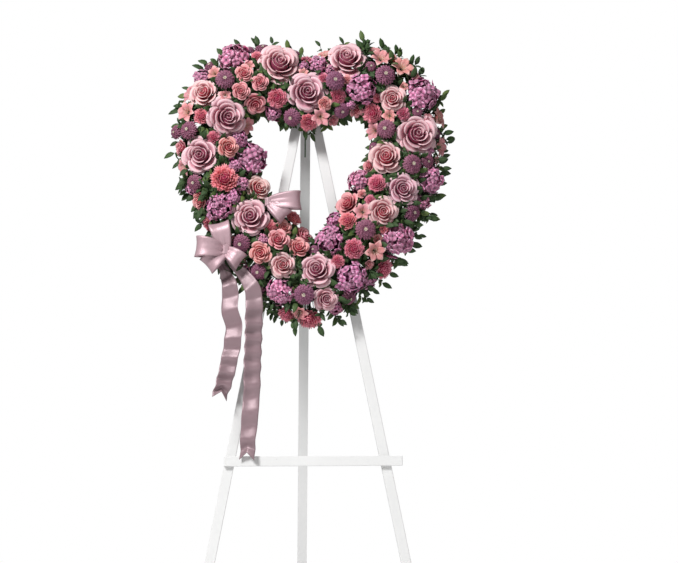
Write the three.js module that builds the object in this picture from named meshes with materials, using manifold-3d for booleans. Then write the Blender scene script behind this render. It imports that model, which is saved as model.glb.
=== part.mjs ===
// Heart-shaped funeral wreath of fresh flowers, tied to a white wooden folding easel.
// Millimetres, +Z up. The flowers face -Y. The origin is on the floor under the middle of the stand.
import * as THREE from 'three';
import { mergeVertices } from 'three/addons/utils/BufferGeometryUtils.js';
import Module from 'manifold-3d';

const wasm = await Module();
wasm.setup();

const DEGREE = Math.PI / 180;

// Easel: two splayed front legs leaning back, and a rear leg hinged behind their crossing
const LEG_LENGTH = 1220;
const LEG_WIDTH = 18;
const LEG_THICK = 10;
const SPLAY = 11.22 * DEGREE;
const LEAN = 7 * DEGREE;
const APEX_Y = -100.8;
const APEX_Z = LEG_LENGTH * Math.cos(SPLAY) * Math.cos(LEAN);
const LEG_TOP = 15;
const MITRE_GAP = 0.2;
const CROSSBAR_DROP = 707;
const CROSSBAR_LENGTH = 322;
const CROSSBAR_SHIFT = 10;
const CROSSBAR_TALL = 18;
const CROSSBAR_THICK = 8;
const SEAT = 0.3;

// Head block, steel pivot bracket and rear leg, behind the crossing of the legs
const BLOCK_WIDTH = 46;
const BLOCK_TOP = 12;
const BLOCK_BOTTOM = -75;
const BLOCK_THICK = 10;
const PIVOT_Y = 36;
const PIVOT_Z = -30;
const BOLT_RADIUS = 2.5;
const PIVOT_HOLE_RADIUS = 2.85;
const BRACKET_SHEET = 2;
const REAR_LEG_WIDTH = 18;
const REAR_LEG_THICK = 12;
const REAR_LEG_ABOVE = 20;
const REAR_LEG_OPEN = 22 * DEGREE;

// Wreath base: a plastic backing tray and a foam heart on a common centre line
const HEART_X = 5;
const HEART_DROP = 214;
const TRAY_HALF_WIDTH = 27;
const TRAY_BACK = -0.3;
const TRAY_FRONT = -6;
const FOAM_HALF_WIDTH = 24;
const FOAM_BACK = -6.3;
const FOAM_FRONT = -41;
const FOAM_CHAMFER = 6;
const STATIONS_PER_SIDE = 18;

// Flower shell: the heads stand on an oval round the foam section
const SHELL_SIDE = 62;
const SHELL_FRONT = 45;
const SHELL_MIDDLE = -25;
const STEM_WIDTH = 3.4;
const WIRE_RADIUS = 1.0;
const STALK_RADIUS = 3.4;
const STALK_LENGTH = 4;
const LEAF_THICK = 1.0;

// Ribbon
const RIBBON_WIDTH = 38;
const RIBBON_THICK = 1.0;
const KNOT = [-153, -62, -117];
const INNER_KNOT = [-76, -62, -30];

const vector = (x, y, z) => new THREE.Vector3(x, y, z);
const clamp = (value, low, high) => Math.min(high, Math.max(low, value));

// A point at a radius and a turn about Z
function polar(radius, angle, height) {
  return vector(radius * Math.cos(angle), radius * Math.sin(angle), height);
}

// Repeatable draws between 0 and 1
function seeded(seed) {
  let state = seed;
  return () => {
    state = (state * 1664525 + 1013904223) % 4294967296;
    return state / 4294967296;
  };
}

// A closed triangle mesh from corner points and faces
function meshGeometry(points, faces) {
  const geometry = new THREE.BufferGeometry();
  const places = points.flatMap((p) => [p.x, p.y, p.z]);
  geometry.setAttribute('position', new THREE.Float32BufferAttribute(places, 3));
  geometry.setIndex(faces.flat());
  return geometry;
}

// A closed geometry as a solid whose faces point out
function solidOf(geometry) {
  const bare = geometry.clone();
  bare.deleteAttribute('normal');
  bare.deleteAttribute('uv');
  const merged = mergeVertices(bare, 1e-4);
  const position = merged.getAttribute('position');
  const index = merged.index.array;
  const corner = (i) => new THREE.Vector3().fromBufferAttribute(position, i);
  const triangles = [];
  let volume = 0;
  for (let i = 0; i < index.length; i += 3) {
    const [a, b, c] = [index[i], index[i + 1], index[i + 2]];
    if (a !== b && b !== c && c !== a) {
      triangles.push([a, b, c]);
      volume += corner(a).dot(corner(b).cross(corner(c)));
    }
  }
  const outward = volume > 0 ? triangles : triangles.map(([a, b, c]) => [a, c, b]);
  const mesh = new wasm.Mesh({
    numProp: 3,
    vertProperties: new Float32Array(position.array),
    triVerts: new Uint32Array(outward.flat()),
  });
  return new wasm.Manifold(mesh);
}

// Several solids or geometries as one solid, with any pinhole closed in between them filled
function join(pieces) {
  const solids = pieces.map((piece) => (piece instanceof THREE.BufferGeometry ? solidOf(piece) : piece));
  const outer = wasm.Manifold.union(solids).decompose().filter((body) => body.volume() > 0);
  return wasm.Manifold.union(outer);
}

// A solid as a three.js geometry
function geometryOf(solid) {
  const mesh = solid.getMesh();
  const geometry = new THREE.BufferGeometry();
  geometry.setAttribute('position', new THREE.BufferAttribute(new Float32Array(mesh.vertProperties), 3));
  geometry.setIndex(new THREE.BufferAttribute(new Uint32Array(mesh.triVerts), 1));
  geometry.computeVertexNormals();
  return geometry;
}

// A box between two corners
function box(x0, x1, y0, y1, z0, z1) {
  const geometry = new THREE.BoxGeometry(x1 - x0, y1 - y0, z1 - z0);
  geometry.translate((x0 + x1) / 2, (y0 + y1) / 2, (z0 + z1) / 2);
  return geometry;
}

// A round bar along X
function barAlongX(radius, x0, x1, y, z, sides = 12) {
  const geometry = new THREE.CylinderGeometry(radius, radius, x1 - x0, sides);
  geometry.rotateZ(Math.PI / 2);
  geometry.translate((x0 + x1) / 2, y, z);
  return geometry;
}

// A flat piece drawn in the XZ plane, with its faces at y0 and y1
function plate(outline, y0, y1) {
  const shape = new THREE.Shape(outline.map(([x, z]) => new THREE.Vector2(x, z)));
  const geometry = new THREE.ExtrudeGeometry(shape, { depth: y1 - y0, bevelEnabled: false });
  geometry.rotateX(Math.PI / 2);
  geometry.translate(0, y1, 0);
  return geometry;
}

// A bar of even section along a line or a smooth curve
function bar(points, radius, sides = 4, steps = 1) {
  const outline = [];
  for (let k = 0; k < sides; k += 1) {
    const angle = (2 * Math.PI * (k + 0.5)) / sides;
    outline.push(new THREE.Vector2(radius * Math.cos(angle), radius * Math.sin(angle)));
  }
  const straight = points.length === 2;
  const path = straight ? new THREE.LineCurve3(points[0], points[1]) : new THREE.CatmullRomCurve3(points);
  return new THREE.ExtrudeGeometry(new THREE.Shape(outline), { steps, extrudePath: path });
}

// A thin blade: a fan from its centre to a ring of edge points, thickened along its mean normal
function blade(centre, ring, thickness) {
  const count = ring.length;
  const normal = vector(0, 0, 0);
  ring.forEach((point, k) => {
    const next = ring[(k + 1) % count];
    normal.add(point.clone().sub(centre).cross(next.clone().sub(centre)));
  });
  normal.setLength(thickness / 2);
  const upper = [centre, ...ring].map((point) => point.clone().add(normal));
  const lower = [centre, ...ring].map((point) => point.clone().sub(normal));
  const faces = [];
  const under = count + 1;
  for (let k = 1; k <= count; k += 1) {
    const next = (k % count) + 1;
    faces.push([0, k, next], [under, under + next, under + k]);
    faces.push([next, k, under + k], [next, under + k, under + next]);
  }
  return meshGeometry([...upper, ...lower], faces);
}

// A stack of star-shaped rings on a three-sided stalk, closed by a point on top.
// Each ring gives tip radius, tip height, valley radius, valley height and a turn in half steps;
// the stalk gives its radius, where it meets the lowest ring's cone, and its foot.
function tieredStar(count, rings, [stalkRadius, neck, foot], top) {
  const around = 2 * count;
  const points = [];
  [foot, neck].forEach((height) => {
    for (let k = 0; k < 3; k += 1) points.push(polar(stalkRadius, (2 * Math.PI * k) / 3, height));
  });
  rings.forEach(([tipRadius, tipHeight, valleyRadius, valleyHeight, turn]) => {
    for (let k = 0; k < around; k += 1) {
      const tip = (k + turn) % 2 === 0;
      const radius = tip ? tipRadius : valleyRadius;
      const height = tip ? tipHeight : valleyHeight;
      points.push(polar(radius, (Math.PI * k) / count, height));
    }
  });
  points.push(vector(0, 0, top));
  const last = points.length - 1;
  const faces = [[0, 2, 1]];
  for (let k = 0; k < 3; k += 1) {
    const next = (k + 1) % 3;
    faces.push([k, next, 3 + next], [k, 3 + next, 3 + k]);
  }
  const neckOf = (k) => Math.round((3 * k) / around);
  for (let k = 0; k < around; k += 1) {
    const next = (k + 1) % around;
    const [near, far] = [neckOf(k), neckOf(k + 1)];
    faces.push([6 + k, 3 + (near % 3), 6 + next]);
    if (far !== near) faces.push([3 + (near % 3), 3 + (far % 3), 6 + next]);
    for (let r = 0; r < rings.length - 1; r += 1) {
      const here = 6 + r * around;
      const above = here + around;
      faces.push([here + k, here + next, above + next], [here + k, above + next, above + k]);
    }
    const highest = 6 + (rings.length - 1) * around;
    faces.push([highest + k, highest + next, last]);
  }
  return meshGeometry(points, faces);
}

// A strip of rows of points, thickened along each row's normal
function strip(rows, thickness) {
  const columns = rows[0].points.length;
  const points = [];
  rows.forEach(({ points: row, normal }) => {
    const shift = normal.clone().setLength(thickness / 2);
    row.forEach((point) => points.push(point.clone().add(shift)));
    row.forEach((point) => points.push(point.clone().sub(shift)));
  });
  const at = (r, c, side) => r * 2 * columns + side * columns + c;
  const faces = [];
  const quad = (a, b, c, d) => faces.push([a, b, c], [a, c, d]);
  for (let r = 0; r < rows.length - 1; r += 1) {
    for (let c = 0; c < columns - 1; c += 1) {
      quad(at(r, c, 0), at(r + 1, c, 0), at(r + 1, c + 1, 0), at(r, c + 1, 0));
      quad(at(r, c, 1), at(r, c + 1, 1), at(r + 1, c + 1, 1), at(r + 1, c, 1));
    }
    quad(at(r, 0, 0), at(r, 0, 1), at(r + 1, 0, 1), at(r + 1, 0, 0));
    const edge = columns - 1;
    quad(at(r, edge, 0), at(r + 1, edge, 0), at(r + 1, edge, 1), at(r, edge, 1));
  }
  const end = rows.length - 1;
  for (let c = 0; c < columns - 1; c += 1) {
    quad(at(0, c, 0), at(0, c + 1, 0), at(0, c + 1, 1), at(0, c, 1));
    quad(at(end, c, 0), at(end, c, 1), at(end, c + 1, 1), at(end, c + 1, 0));
  }
  return meshGeometry(points, faces);
}

// Scene groups: the front frame leans back about the apex, and the wreath hangs on it
const wreathAndEasel = new THREE.Group();
const frontFrame = new THREE.Group();
frontFrame.position.set(0, APEX_Y, APEX_Z);
frontFrame.rotation.x = -LEAN;
wreathAndEasel.add(frontFrame);
const rearLegFrame = new THREE.Group();
rearLegFrame.position.set(0, PIVOT_Y, PIVOT_Z);
rearLegFrame.rotation.x = REAR_LEG_OPEN;
frontFrame.add(rearLegFrame);
const wreath = new THREE.Group();
wreath.position.set(HEART_X, 0, -HEART_DROP);
frontFrame.add(wreath);
wreathAndEasel.updateMatrixWorld(true);

function finish(colour, roughness, metalness = 0) {
  return new THREE.MeshStandardMaterial({ color: colour, roughness, metalness });
}

function addPart(parent, name, solid, material, place = vector(0, 0, 0)) {
  const geometry = geometryOf(solid);
  geometry.translate(-place.x, -place.y, -place.z);
  const mesh = new THREE.Mesh(geometry, material);
  mesh.name = name;
  mesh.position.copy(place);
  parent.add(mesh);
}

// What lies under the floor, in a group's own coordinates, to cut a foot flat
function belowFloor(parent) {
  const geometry = box(-800, 800, -800, 800, -400, 0);
  geometry.applyMatrix4(parent.matrixWorld.clone().invert());
  return solidOf(geometry);
}

// Front legs, mitred against each other at the top
function frontLeg(side) {
  const half = LEG_WIDTH / 2;
  const outerX = (z) => (half - z * Math.sin(SPLAY)) / Math.cos(SPLAY);
  const innerX = (z) => (-half - z * Math.sin(SPLAY)) / Math.cos(SPLAY);
  const mitreEnd = (-half - MITRE_GAP * Math.cos(SPLAY)) / Math.sin(SPLAY);
  const foot = -LEG_LENGTH;
  const outline = [
    [MITRE_GAP, LEG_TOP],
    [MITRE_GAP, mitreEnd],
    [innerX(foot), foot],
    [outerX(foot), foot],
    [outerX(LEG_TOP), LEG_TOP],
  ];
  const mirrored = outline.map(([x, z]) => [side * x, z]);
  return solidOf(plate(mirrored, 0, LEG_THICK)).subtract(belowFloor(frontFrame));
}
const paint = () => finish(0xf4f4f2, 0.5);
addPart(frontFrame, 'easel_leg_left', frontLeg(-1), paint());
addPart(frontFrame, 'easel_leg_right', frontLeg(1), paint());

const crossbar = box(
  CROSSBAR_SHIFT - CROSSBAR_LENGTH / 2,
  CROSSBAR_SHIFT + CROSSBAR_LENGTH / 2,
  -SEAT - CROSSBAR_THICK,
  -SEAT,
  -CROSSBAR_DROP - CROSSBAR_TALL / 2,
  -CROSSBAR_DROP + CROSSBAR_TALL / 2,
);
addPart(frontFrame, 'easel_crossbar', solidOf(crossbar), paint());

const blockBack = LEG_THICK + SEAT + BLOCK_THICK;
const blockFront = LEG_THICK + SEAT;
const headBlock = box(-BLOCK_WIDTH / 2, BLOCK_WIDTH / 2, blockFront, blockBack, BLOCK_BOTTOM, BLOCK_TOP);
addPart(frontFrame, 'easel_head_block', solidOf(headBlock), paint());

// Steel U bracket with its ears each side of the rear leg
const earInside = REAR_LEG_WIDTH / 2 + 0.6;
const earOutside = earInside + BRACKET_SHEET;
const plateFront = blockBack + SEAT;
const bracket = join([
  box(-earOutside, earOutside, plateFront, plateFront + BRACKET_SHEET, PIVOT_Z - 14, PIVOT_Z + 14),
  box(-earOutside, -earInside, plateFront, PIVOT_Y + 10, PIVOT_Z - 9, PIVOT_Z + 9),
  box(earInside, earOutside, plateFront, PIVOT_Y + 10, PIVOT_Z - 9, PIVOT_Z + 9),
]).subtract(solidOf(barAlongX(PIVOT_HOLE_RADIUS, -30, 30, PIVOT_Y, PIVOT_Z)));
addPart(frontFrame, 'pivot_bracket', bracket, finish(0xb9bcc0, 0.4, 0.9));

const pivotBolt = join([
  barAlongX(BOLT_RADIUS, -earOutside - 3, earOutside + 3, PIVOT_Y, PIVOT_Z),
  barAlongX(4.6, -earOutside - SEAT - 3, -earOutside - SEAT, PIVOT_Y, PIVOT_Z, 6),
  barAlongX(4.6, earOutside + SEAT, earOutside + SEAT + 3, PIVOT_Y, PIVOT_Z, 6),
]);
addPart(frontFrame, 'pivot_bolt', pivotBolt, finish(0xa9adb2, 0.35, 0.9));

const rearLegHalf = REAR_LEG_THICK / 2;
const rearLeg = solidOf(
  box(-REAR_LEG_WIDTH / 2, REAR_LEG_WIDTH / 2, -rearLegHalf, rearLegHalf, -LEG_LENGTH, REAR_LEG_ABOVE),
)
  .subtract(solidOf(barAlongX(PIVOT_HOLE_RADIUS, -20, 20, 0, 0)))
  .subtract(belowFloor(rearLegFrame));
addPart(rearLegFrame, 'easel_rear_leg', rearLeg, paint());

// Heart centre line: the right half from the cleft to the tip, and its mirror image
function heartLine(perSide) {
  const corner = ([x, z]) => new THREE.Vector2(x, z);
  const half = new THREE.CurvePath();
  [
    [[0, 160], [26, 186], [56, 197], [90, 197]],
    [[90, 197], [140, 197], [174, 152], [174, 98]],
    [[174, 98], [178, 20], [100, -110], [0, -176]],
  ].forEach((bend) => half.add(new THREE.CubicBezierCurve(...bend.map(corner))));
  const right = half.getSpacedPoints(perSide);
  const left = right.slice(1, -1).reverse().map((point) => new THREE.Vector2(-point.x, point.y));
  return [...right, ...left];
}

// The outward direction at each station, lengthened at the corners like a blunt mitre
function mitredStations(line) {
  const count = line.length;
  return line.map((point, k) => {
    const before = point.clone().sub(line[(k + count - 1) % count]).normalize();
    const after = line[(k + 1) % count].clone().sub(point).normalize();
    const normal = new THREE.Vector2(-before.y - after.y, before.x + after.x).normalize();
    const cosine = normal.dot(new THREE.Vector2(-before.y, before.x));
    return { point, outward: normal.divideScalar(Math.max(cosine, 0.9)) };
  });
}

// A section of [sideways, y] corners swept round the heart
function heartRing(section) {
  const stations = mitredStations(heartLine(STATIONS_PER_SIDE));
  const around = section.length;
  const points = [];
  stations.forEach(({ point, outward }) => {
    section.forEach(([side, y]) => {
      points.push(vector(point.x + side * outward.x, y, point.y + side * outward.y));
    });
  });
  const faces = [];
  stations.forEach((station, k) => {
    const here = k * around;
    const next = ((k + 1) % stations.length) * around;
    for (let j = 0; j < around; j += 1) {
      const turn = (j + 1) % around;
      faces.push([here + j, next + j, next + turn], [here + j, next + turn, here + turn]);
    }
  });
  return solidOf(meshGeometry(points, faces));
}

// The nearest point of the centre line, the outward direction there, and the signed distance from it
const DENSE_LINE = mitredStations(heartLine(150));
function nearestOnHeart(x, z) {
  let best = null;
  DENSE_LINE.forEach(({ point, outward }) => {
    const distance = Math.hypot(x - point.x, z - point.y);
    if (!best || distance < best.distance) best = { point, outward, distance };
  });
  const offset = new THREE.Vector2(x - best.point.x, z - best.point.y);
  const outside = offset.dot(best.outward) >= 0 ? 1 : -1;
  const along = best.outward.clone().normalize();
  const direction = best.distance > 4 ? offset.multiplyScalar(outside).normalize() : along;
  return { point: best.point, direction, side: outside * best.distance };
}

// A point beside the centre line, at a sideways distance and a depth
function besideHeart(near, side, y) {
  return vector(near.point.x + side * near.direction.x, y, near.point.y + side * near.direction.y);
}

// Flowers: x, z and diameter of every head, measured from the middle of the heart.
// Each entry is one piece; its first head carries the stem and the others branch from it.
const FLOWERS = [
  ['rose_top_left', 'rose', 0xc99aa6, [[-54, 225, 78]]],
  ['rose_cleft', 'rose', 0xc08a9a, [[-5, 173, 73]]],
  ['rose_top_right', 'rose', 0xc796a4, [[67, 232, 73]]],
  ['rose_right_upper', 'rose', 0xc590a0, [[194, 94, 79]]],
  ['rose_right_inner', 'rose', 0xe9c9bd, [[137, 54, 62]]],
  ['rose_right_middle', 'rose', 0xbf8494, [[166, -7, 58]]],
  ['rose_right_lower', 'rose', 0xe6b8a2, [[131, -49, 56]]],
  ['rose_left_upper', 'rose', 0xc18b9b, [[-148, 124, 73]]],
  ['rose_left_middle', 'rose', 0xbe8393, [[-191, 54, 69]]],
  ['rose_left_side', 'rose', 0xe2b9b4, [[-189, 169, 56]]],
  ['rose_left_lower', 'rose', 0xc08898, [[-108, -54, 69]]],
  ['rose_left_inner', 'rose', 0xe3bdb2, [[-92, -5, 48]]],
  ['rose_bottom', 'rose', 0xbd8292, [[9, -153, 64]]],
  ['rose_peach_upper', 'rose', 0xe9bfa8, [[149, 160, 50]]],
  ['rose_bottom_left', 'rose', 0xdda9a6, [[-49, -144, 48]]],
  ['rose_bottom_tip', 'rose', 0xd9a3a8, [[27, -205, 46]]],
  ['spray_roses_top_left', 'sprayRose', 0xe6a58c, [
    [-106, 157, 43], [-128, 167, 34], [-125, 193, 34], [-92, 182, 34],
  ]],
  ['spray_roses_left', 'sprayRose', 0xe3957e, [[-158, 72, 41], [-232, 72, 34], [-187, -22, 36]]],
  ['spray_roses_bottom', 'sprayRose', 0xe69f86, [
    [-61, -110, 41], [-90, -115, 43], [-31, -113, 41], [-20, -90, 43],
  ]],
  ['spray_rose_right_inner', 'sprayRose', 0xe8b49c, [[68, -43, 46]]],
  ['carnation_left', 'carnation', 0xe98a78, [[-164, 23, 55]]],
  ['carnation_top_left', 'carnation', 0xd0658a, [[-68, 158, 41]]],
  ['carnations_right', 'carnation', 0xe5786a, [[110, 140, 41], [115, 4, 38]]],
  ['carnations_lower_right', 'carnation', 0xe8907c, [[68, -119, 41], [64, -62, 38], [135, -149, 43]]],
  ['carnations_bottom', 'carnation', 0xd46a92, [[-40, -229, 36], [-9, -239, 50]]],
  ['carnation_inner_bottom', 'carnation', 0xd4608c, [[-25, -65, 36]]],
  ['mums_left', 'mum', 0x9a6db4, [[-218, 103, 37], [-243, 101, 29], [-153, 178, 39], [-198, 2, 34]]],
  ['mums_lower_left', 'mum', 0x946ab0, [[-95, -185, 39], [-126, -97, 37], [-9, -194, 41]]],
  ['mums_cleft', 'mum', 0xa074b8, [[34, 198, 39], [58, 139, 32], [-32, 128, 37]]],
  ['mums_top_right', 'mum', 0x9b70b6, [[137, 200, 41], [142, 101, 39]]],
  ['mums_right', 'mum', 0x9468ae, [[185, -47, 37], [184, 38, 39], [92, -74, 41]]],
  ['hydrangea_top_left', 'hydrangea', 0xc58ac0, [[-139, 239, 65]]],
  ['hydrangeas_left', 'hydrangea', 0xc088bd, [[-119, 52, 70], [-164, -38, 53]]],
  ['hydrangeas_top_right', 'hydrangea', 0xc78dc1, [[92, 180, 58], [203, 171, 70]]],
  ['hydrangeas_right', 'hydrangea', 0xc38abb, [
    [153, -95, 70], [218, 13, 60], [72, -158, 65], [52, -94, 58], [88, 5, 51],
  ]],
  ['hydrangea_bottom_left', 'hydrangea', 0xbf87ba, [[-54, -187, 56]]],
  ['lilies_top_right', 'lily', 0xdc8fae, [[169, 221, 42], [130, 235, 39], [236, 131, 42], [229, 81, 39]]],
  ['lily_lower_right', 'lily', 0xdd90ae, [[112, -115, 39]]],
  ['lily_left', 'lily', 0xda8bab, [[-220, 133, 39]]],
];

// How far each kind stands ahead of the shell, and how firmly it keeps its place
const KINDS = {
  rose: { ahead: 0, weight: 8 },
  sprayRose: { ahead: 6, weight: 1.5 },
  carnation: { ahead: 5, weight: 1.5 },
  mum: { ahead: 7, weight: 1 },
  hydrangea: { ahead: -2, weight: 3 },
  lily: { ahead: 5, weight: 1 },
  ribbon: { ahead: 0, weight: 1000 },
};

// Seats a head on the shell: its middle, and the direction in which it faces
function seatHead(head) {
  const near = nearestOnHeart(head.x, head.z);
  const sine = clamp(near.side / SHELL_SIDE, -0.98, 0.98);
  const cosine = Math.sqrt(1 - sine * sine);
  const { direction } = near;
  const lateral = sine / SHELL_SIDE;
  head.near = near;
  head.axis = vector(direction.x * lateral, -cosine / SHELL_FRONT, direction.y * lateral).normalize();
  if (head.kind === 'ribbon') return;
  const depth = SHELL_MIDDLE - SHELL_FRONT * cosine;
  head.centre = vector(head.x, depth, head.z);
  head.centre.y -= KINDS[head.kind].ahead * cosine;
}

// Pushes crowded heads apart across the face of the wreath
function settle(heads) {
  for (let round = 0; round < 80; round += 1) {
    heads.forEach(seatHead);
    for (let i = 0; i < heads.length; i += 1) {
      for (let j = i + 1; j < heads.length; j += 1) {
        const [a, b] = [heads[i], heads[j]];
        const distance = a.centre.distanceTo(b.centre);
        const lack = 0.98 * (a.radius + b.radius) - distance;
        if (lack > 0) {
          const dx = b.x - a.x;
          const dz = b.z - a.z;
          const flat = Math.max(Math.hypot(dx, dz), 1);
          const share = KINDS[b.kind].weight / (KINDS[a.kind].weight + KINDS[b.kind].weight);
          const push = Math.min(lack, 4) * 0.6;
          a.x -= (push * share * dx) / flat;
          a.z -= (push * share * dz) / flat;
          b.x += (push * (1 - share) * dx) / flat;
          b.z += (push * (1 - share) * dz) / flat;
        }
      }
    }
  }
  heads.forEach(seatHead);
}

const ribbonKeepouts = [
  [KNOT, 12],
  [[-164, -66, -88], 18],
  [[-183, -66, -115], 18],
  [INNER_KNOT, 10],
  [[-50, -66, -30], 17],
  [[-54, -66, -46], 16],
].map(([[x, y, z], radius]) => ({ kind: 'ribbon', x, z, radius, centre: vector(x, y, z) }));

const headsOf = new Map();
FLOWERS.forEach(([name, kind, , list]) => {
  headsOf.set(name, list.map(([x, z, diameter]) => ({ node: name, kind, x, z, radius: diameter / 2 })));
});
const allHeads = [...headsOf.values()].flat();
settle([...allHeads, ...ribbonKeepouts]);

// Tier shares of a head's radius, turned into a closed stack of rings on a stalk
function tiers(count, size, shares, neck, top) {
  const rings = shares.map(([tip, tipHeight, valley, valleyHeight, turn]) =>
    [tip * size, tipHeight * size, valley * size, valleyHeight * size, turn]);
  return tieredStar(count, rings, [STALK_RADIUS, neck * size, neck * size - STALK_LENGTH], top * size);
}

const HEAD_SHAPES = {
  rose(size) {
    return [tiers(5, size, [
      [0.98, 0.06, 0.84, -0.1, 1],
      [0.66, -0.02, 0.62, -0.02, 1],
      [0.68, 0.3, 0.56, 0.16, 0],
      [0.42, 0.08, 0.4, 0.08, 0],
      [0.38, 0.44, 0.28, 0.32, 1],
      [0.12, 0.24, 0.12, 0.24, 1],
    ], -0.47, 0.4)];
  },
  sprayRose(size) {
    return [tiers(5, size, [
      [0.96, 0.18, 0.7, 0.02, 0],
      [0.5, 0, 0.5, 0, 0],
      [0.5, 0.44, 0.36, 0.28, 1],
      [0.18, 0.16, 0.18, 0.16, 1],
    ], -0.5, 0.34)];
  },
  carnation(size) {
    return [tiers(7, size, [
      [0.97, 0, 0.76, -0.12, 0],
      [0.6, 0.04, 0.56, 0, 0],
      [0.78, 0.24, 0.58, 0.1, 1],
      [0.36, 0.24, 0.34, 0.22, 1],
    ], -0.55, 0.42)];
  },
  mum(size) {
    return [tiers(8, size, [
      [0.98, 0.02, 0.62, -0.12, 0],
      [0.46, 0.03, 0.46, 0.03, 0],
      [0.72, 0.26, 0.42, 0.14, 1],
    ], -0.45, 0.2)];
  },
  hydrangea(size, draw) {
    const pieces = [new THREE.IcosahedronGeometry(0.64 * size, 0)];
    const spots = [[0, 0]];
    for (let k = 0; k < 3; k += 1) spots.push([54 * DEGREE, (2 * k * Math.PI) / 3]);
    for (let k = 0; k < 3; k += 1) spots.push([100 * DEGREE, (k + 0.5) * (2 * Math.PI / 3)]);
    spots.forEach(([tilt, round]) => {
      const petals = [[0.52 * size, 0.03 * size, 0.27 * size, -0.03 * size, 0]];
      const floret = tieredStar(4, petals, [0.9, -0.16 * size, -0.52 * size], -0.05 * size);
      floret.rotateZ(draw() * Math.PI);
      floret.translate(0, 0, 0.88 * size);
      floret.rotateY(tilt);
      floret.rotateZ(round + 0.3);
      pieces.push(floret);
    });
    return pieces;
  },
  lily(size) {
    return [tiers(6, size, [[0.95, 0.16, 0.55, 0.05, 0]], -0.5, -0.2)];
  },
};

// Where a head's stem or branch is joined, as a share of its radius and a length behind its middle
const JOINTS = { rose: 0.47, sprayRose: 0.5, carnation: 0.55, mum: 0.45, hydrangea: 0.4, lily: 0.5 };
function jointOf(head) {
  const back = JOINTS[head.kind] * head.radius + (head.kind === 'hydrangea' ? 0 : STALK_LENGTH / 2);
  return head.centre.clone().addScaledVector(head.axis, -back);
}

// Places head-frame geometries on the wreath, their own Z axis facing the way the head faces
function placed(pieces, head, turn) {
  const face = new THREE.Quaternion().setFromUnitVectors(vector(0, 0, 1), head.axis);
  const spin = new THREE.Quaternion().setFromAxisAngle(vector(0, 0, 1), turn);
  const matrix = new THREE.Matrix4().compose(head.centre, face.multiply(spin), vector(1, 1, 1));
  return pieces.map((piece) => piece.clone().applyMatrix4(matrix));
}

// A point on the head's axis, a share of its radius behind its middle
function behind(head, share) {
  return head.centre.clone().addScaledVector(head.axis, -share * head.radius);
}

// Stems stand in plain holes in the foam
const foamHoles = [];
const trayHoles = [];
function stem(from, to, width = STEM_WIDTH) {
  const radius = width / Math.sqrt(3);
  const beyond = to.clone().addScaledVector(to.clone().sub(from).normalize(), SEAT);
  foamHoles.push(bar([from, beyond], radius + 2 * SEAT, 3));
  return bar([from, to], radius, 3);
}

function stemFoot(head) {
  const side = clamp(0.35 * head.near.side, -13, 13);
  return besideHeart(head.near, side, -26);
}

// Distance from a point to a segment
function toSegment(point, a, b) {
  return new THREE.Line3(a, b).closestPointToPoint(point, true, vector(0, 0, 0)).distanceTo(point);
}

// What branches and leaves have to pass clear of
const obstacles = [];
allHeads.forEach((head) => {
  const first = headsOf.get(head.node)[0] === head;
  const { node } = head;
  if (first) obstacles.push({ node, a: jointOf(head), b: stemFoot(head), radius: 4.6 });
  if (head.kind === 'hydrangea') {
    obstacles.push({ node, a: head.centre, b: head.centre, radius: 0.7 * head.radius });
  }
  if (head.kind === 'rose') {
    obstacles.push({ node, a: behind(head, 0.2), b: behind(head, 0.5), radius: 0.24 * head.radius });
    obstacles.push({ node, a: behind(head, 0.1), b: behind(head, 0.12), radius: 0.44 * head.radius });
  }
});

// The path of a branch over the foam from one head to the next, bowed clear of other stems
function branchPath(from, to) {
  const run = new THREE.Vector2(to.x - from.x, to.z - from.z);
  const length = run.length();
  const across = new THREE.Vector2(-run.y, run.x).divideScalar(length);
  const count = Math.max(1, Math.round((length + 0.6 * Math.abs(to.near.side - from.near.side)) / 28));
  const routes = [0, 5].flatMap((raise) => [0, 7, -7, 14, -14, 20, -20, 27, -27].map((bow) => [raise, bow]));
  let best = null;
  routes.forEach(([raise, bow]) => {
    if (best && best.clearance > 2) return;
    const points = [jointOf(from)];
    for (let k = 0; k <= count; k += 1) {
      const share = k / count;
      const swing = bow * Math.sin(Math.PI * share);
      const x = from.x + run.x * share + across.x * swing;
      const z = from.z + run.y * share + across.y * swing;
      const near = nearestOnHeart(x, z);
      const sine = clamp(near.side / SHELL_SIDE, -0.98, 0.98);
      const cosine = Math.sqrt(1 - sine * sine);
      const side = (37 + raise) * Math.sign(sine) * Math.abs(sine) ** 0.6;
      points.push(besideHeart(near, side, SHELL_MIDDLE - (25 + raise) * cosine ** 0.6));
    }
    points.push(jointOf(to));
    const bends = new THREE.CatmullRomCurve3(points).getSpacedPoints(points.length - 1);
    let clearance = Infinity;
    bends.slice(1).forEach((bend, k) => {
      for (let part = 0; part < 5; part += 1) {
        const sample = bends[k].clone().lerp(bend, part / 5);
        obstacles.forEach(({ node, a, b, radius }) => {
          if (node !== from.node) clearance = Math.min(clearance, toSegment(sample, a, b) - radius);
        });
      }
    });
    if (!best || clearance > best.clearance) best = { clearance, points };
  });
  return best.points;
}

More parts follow.
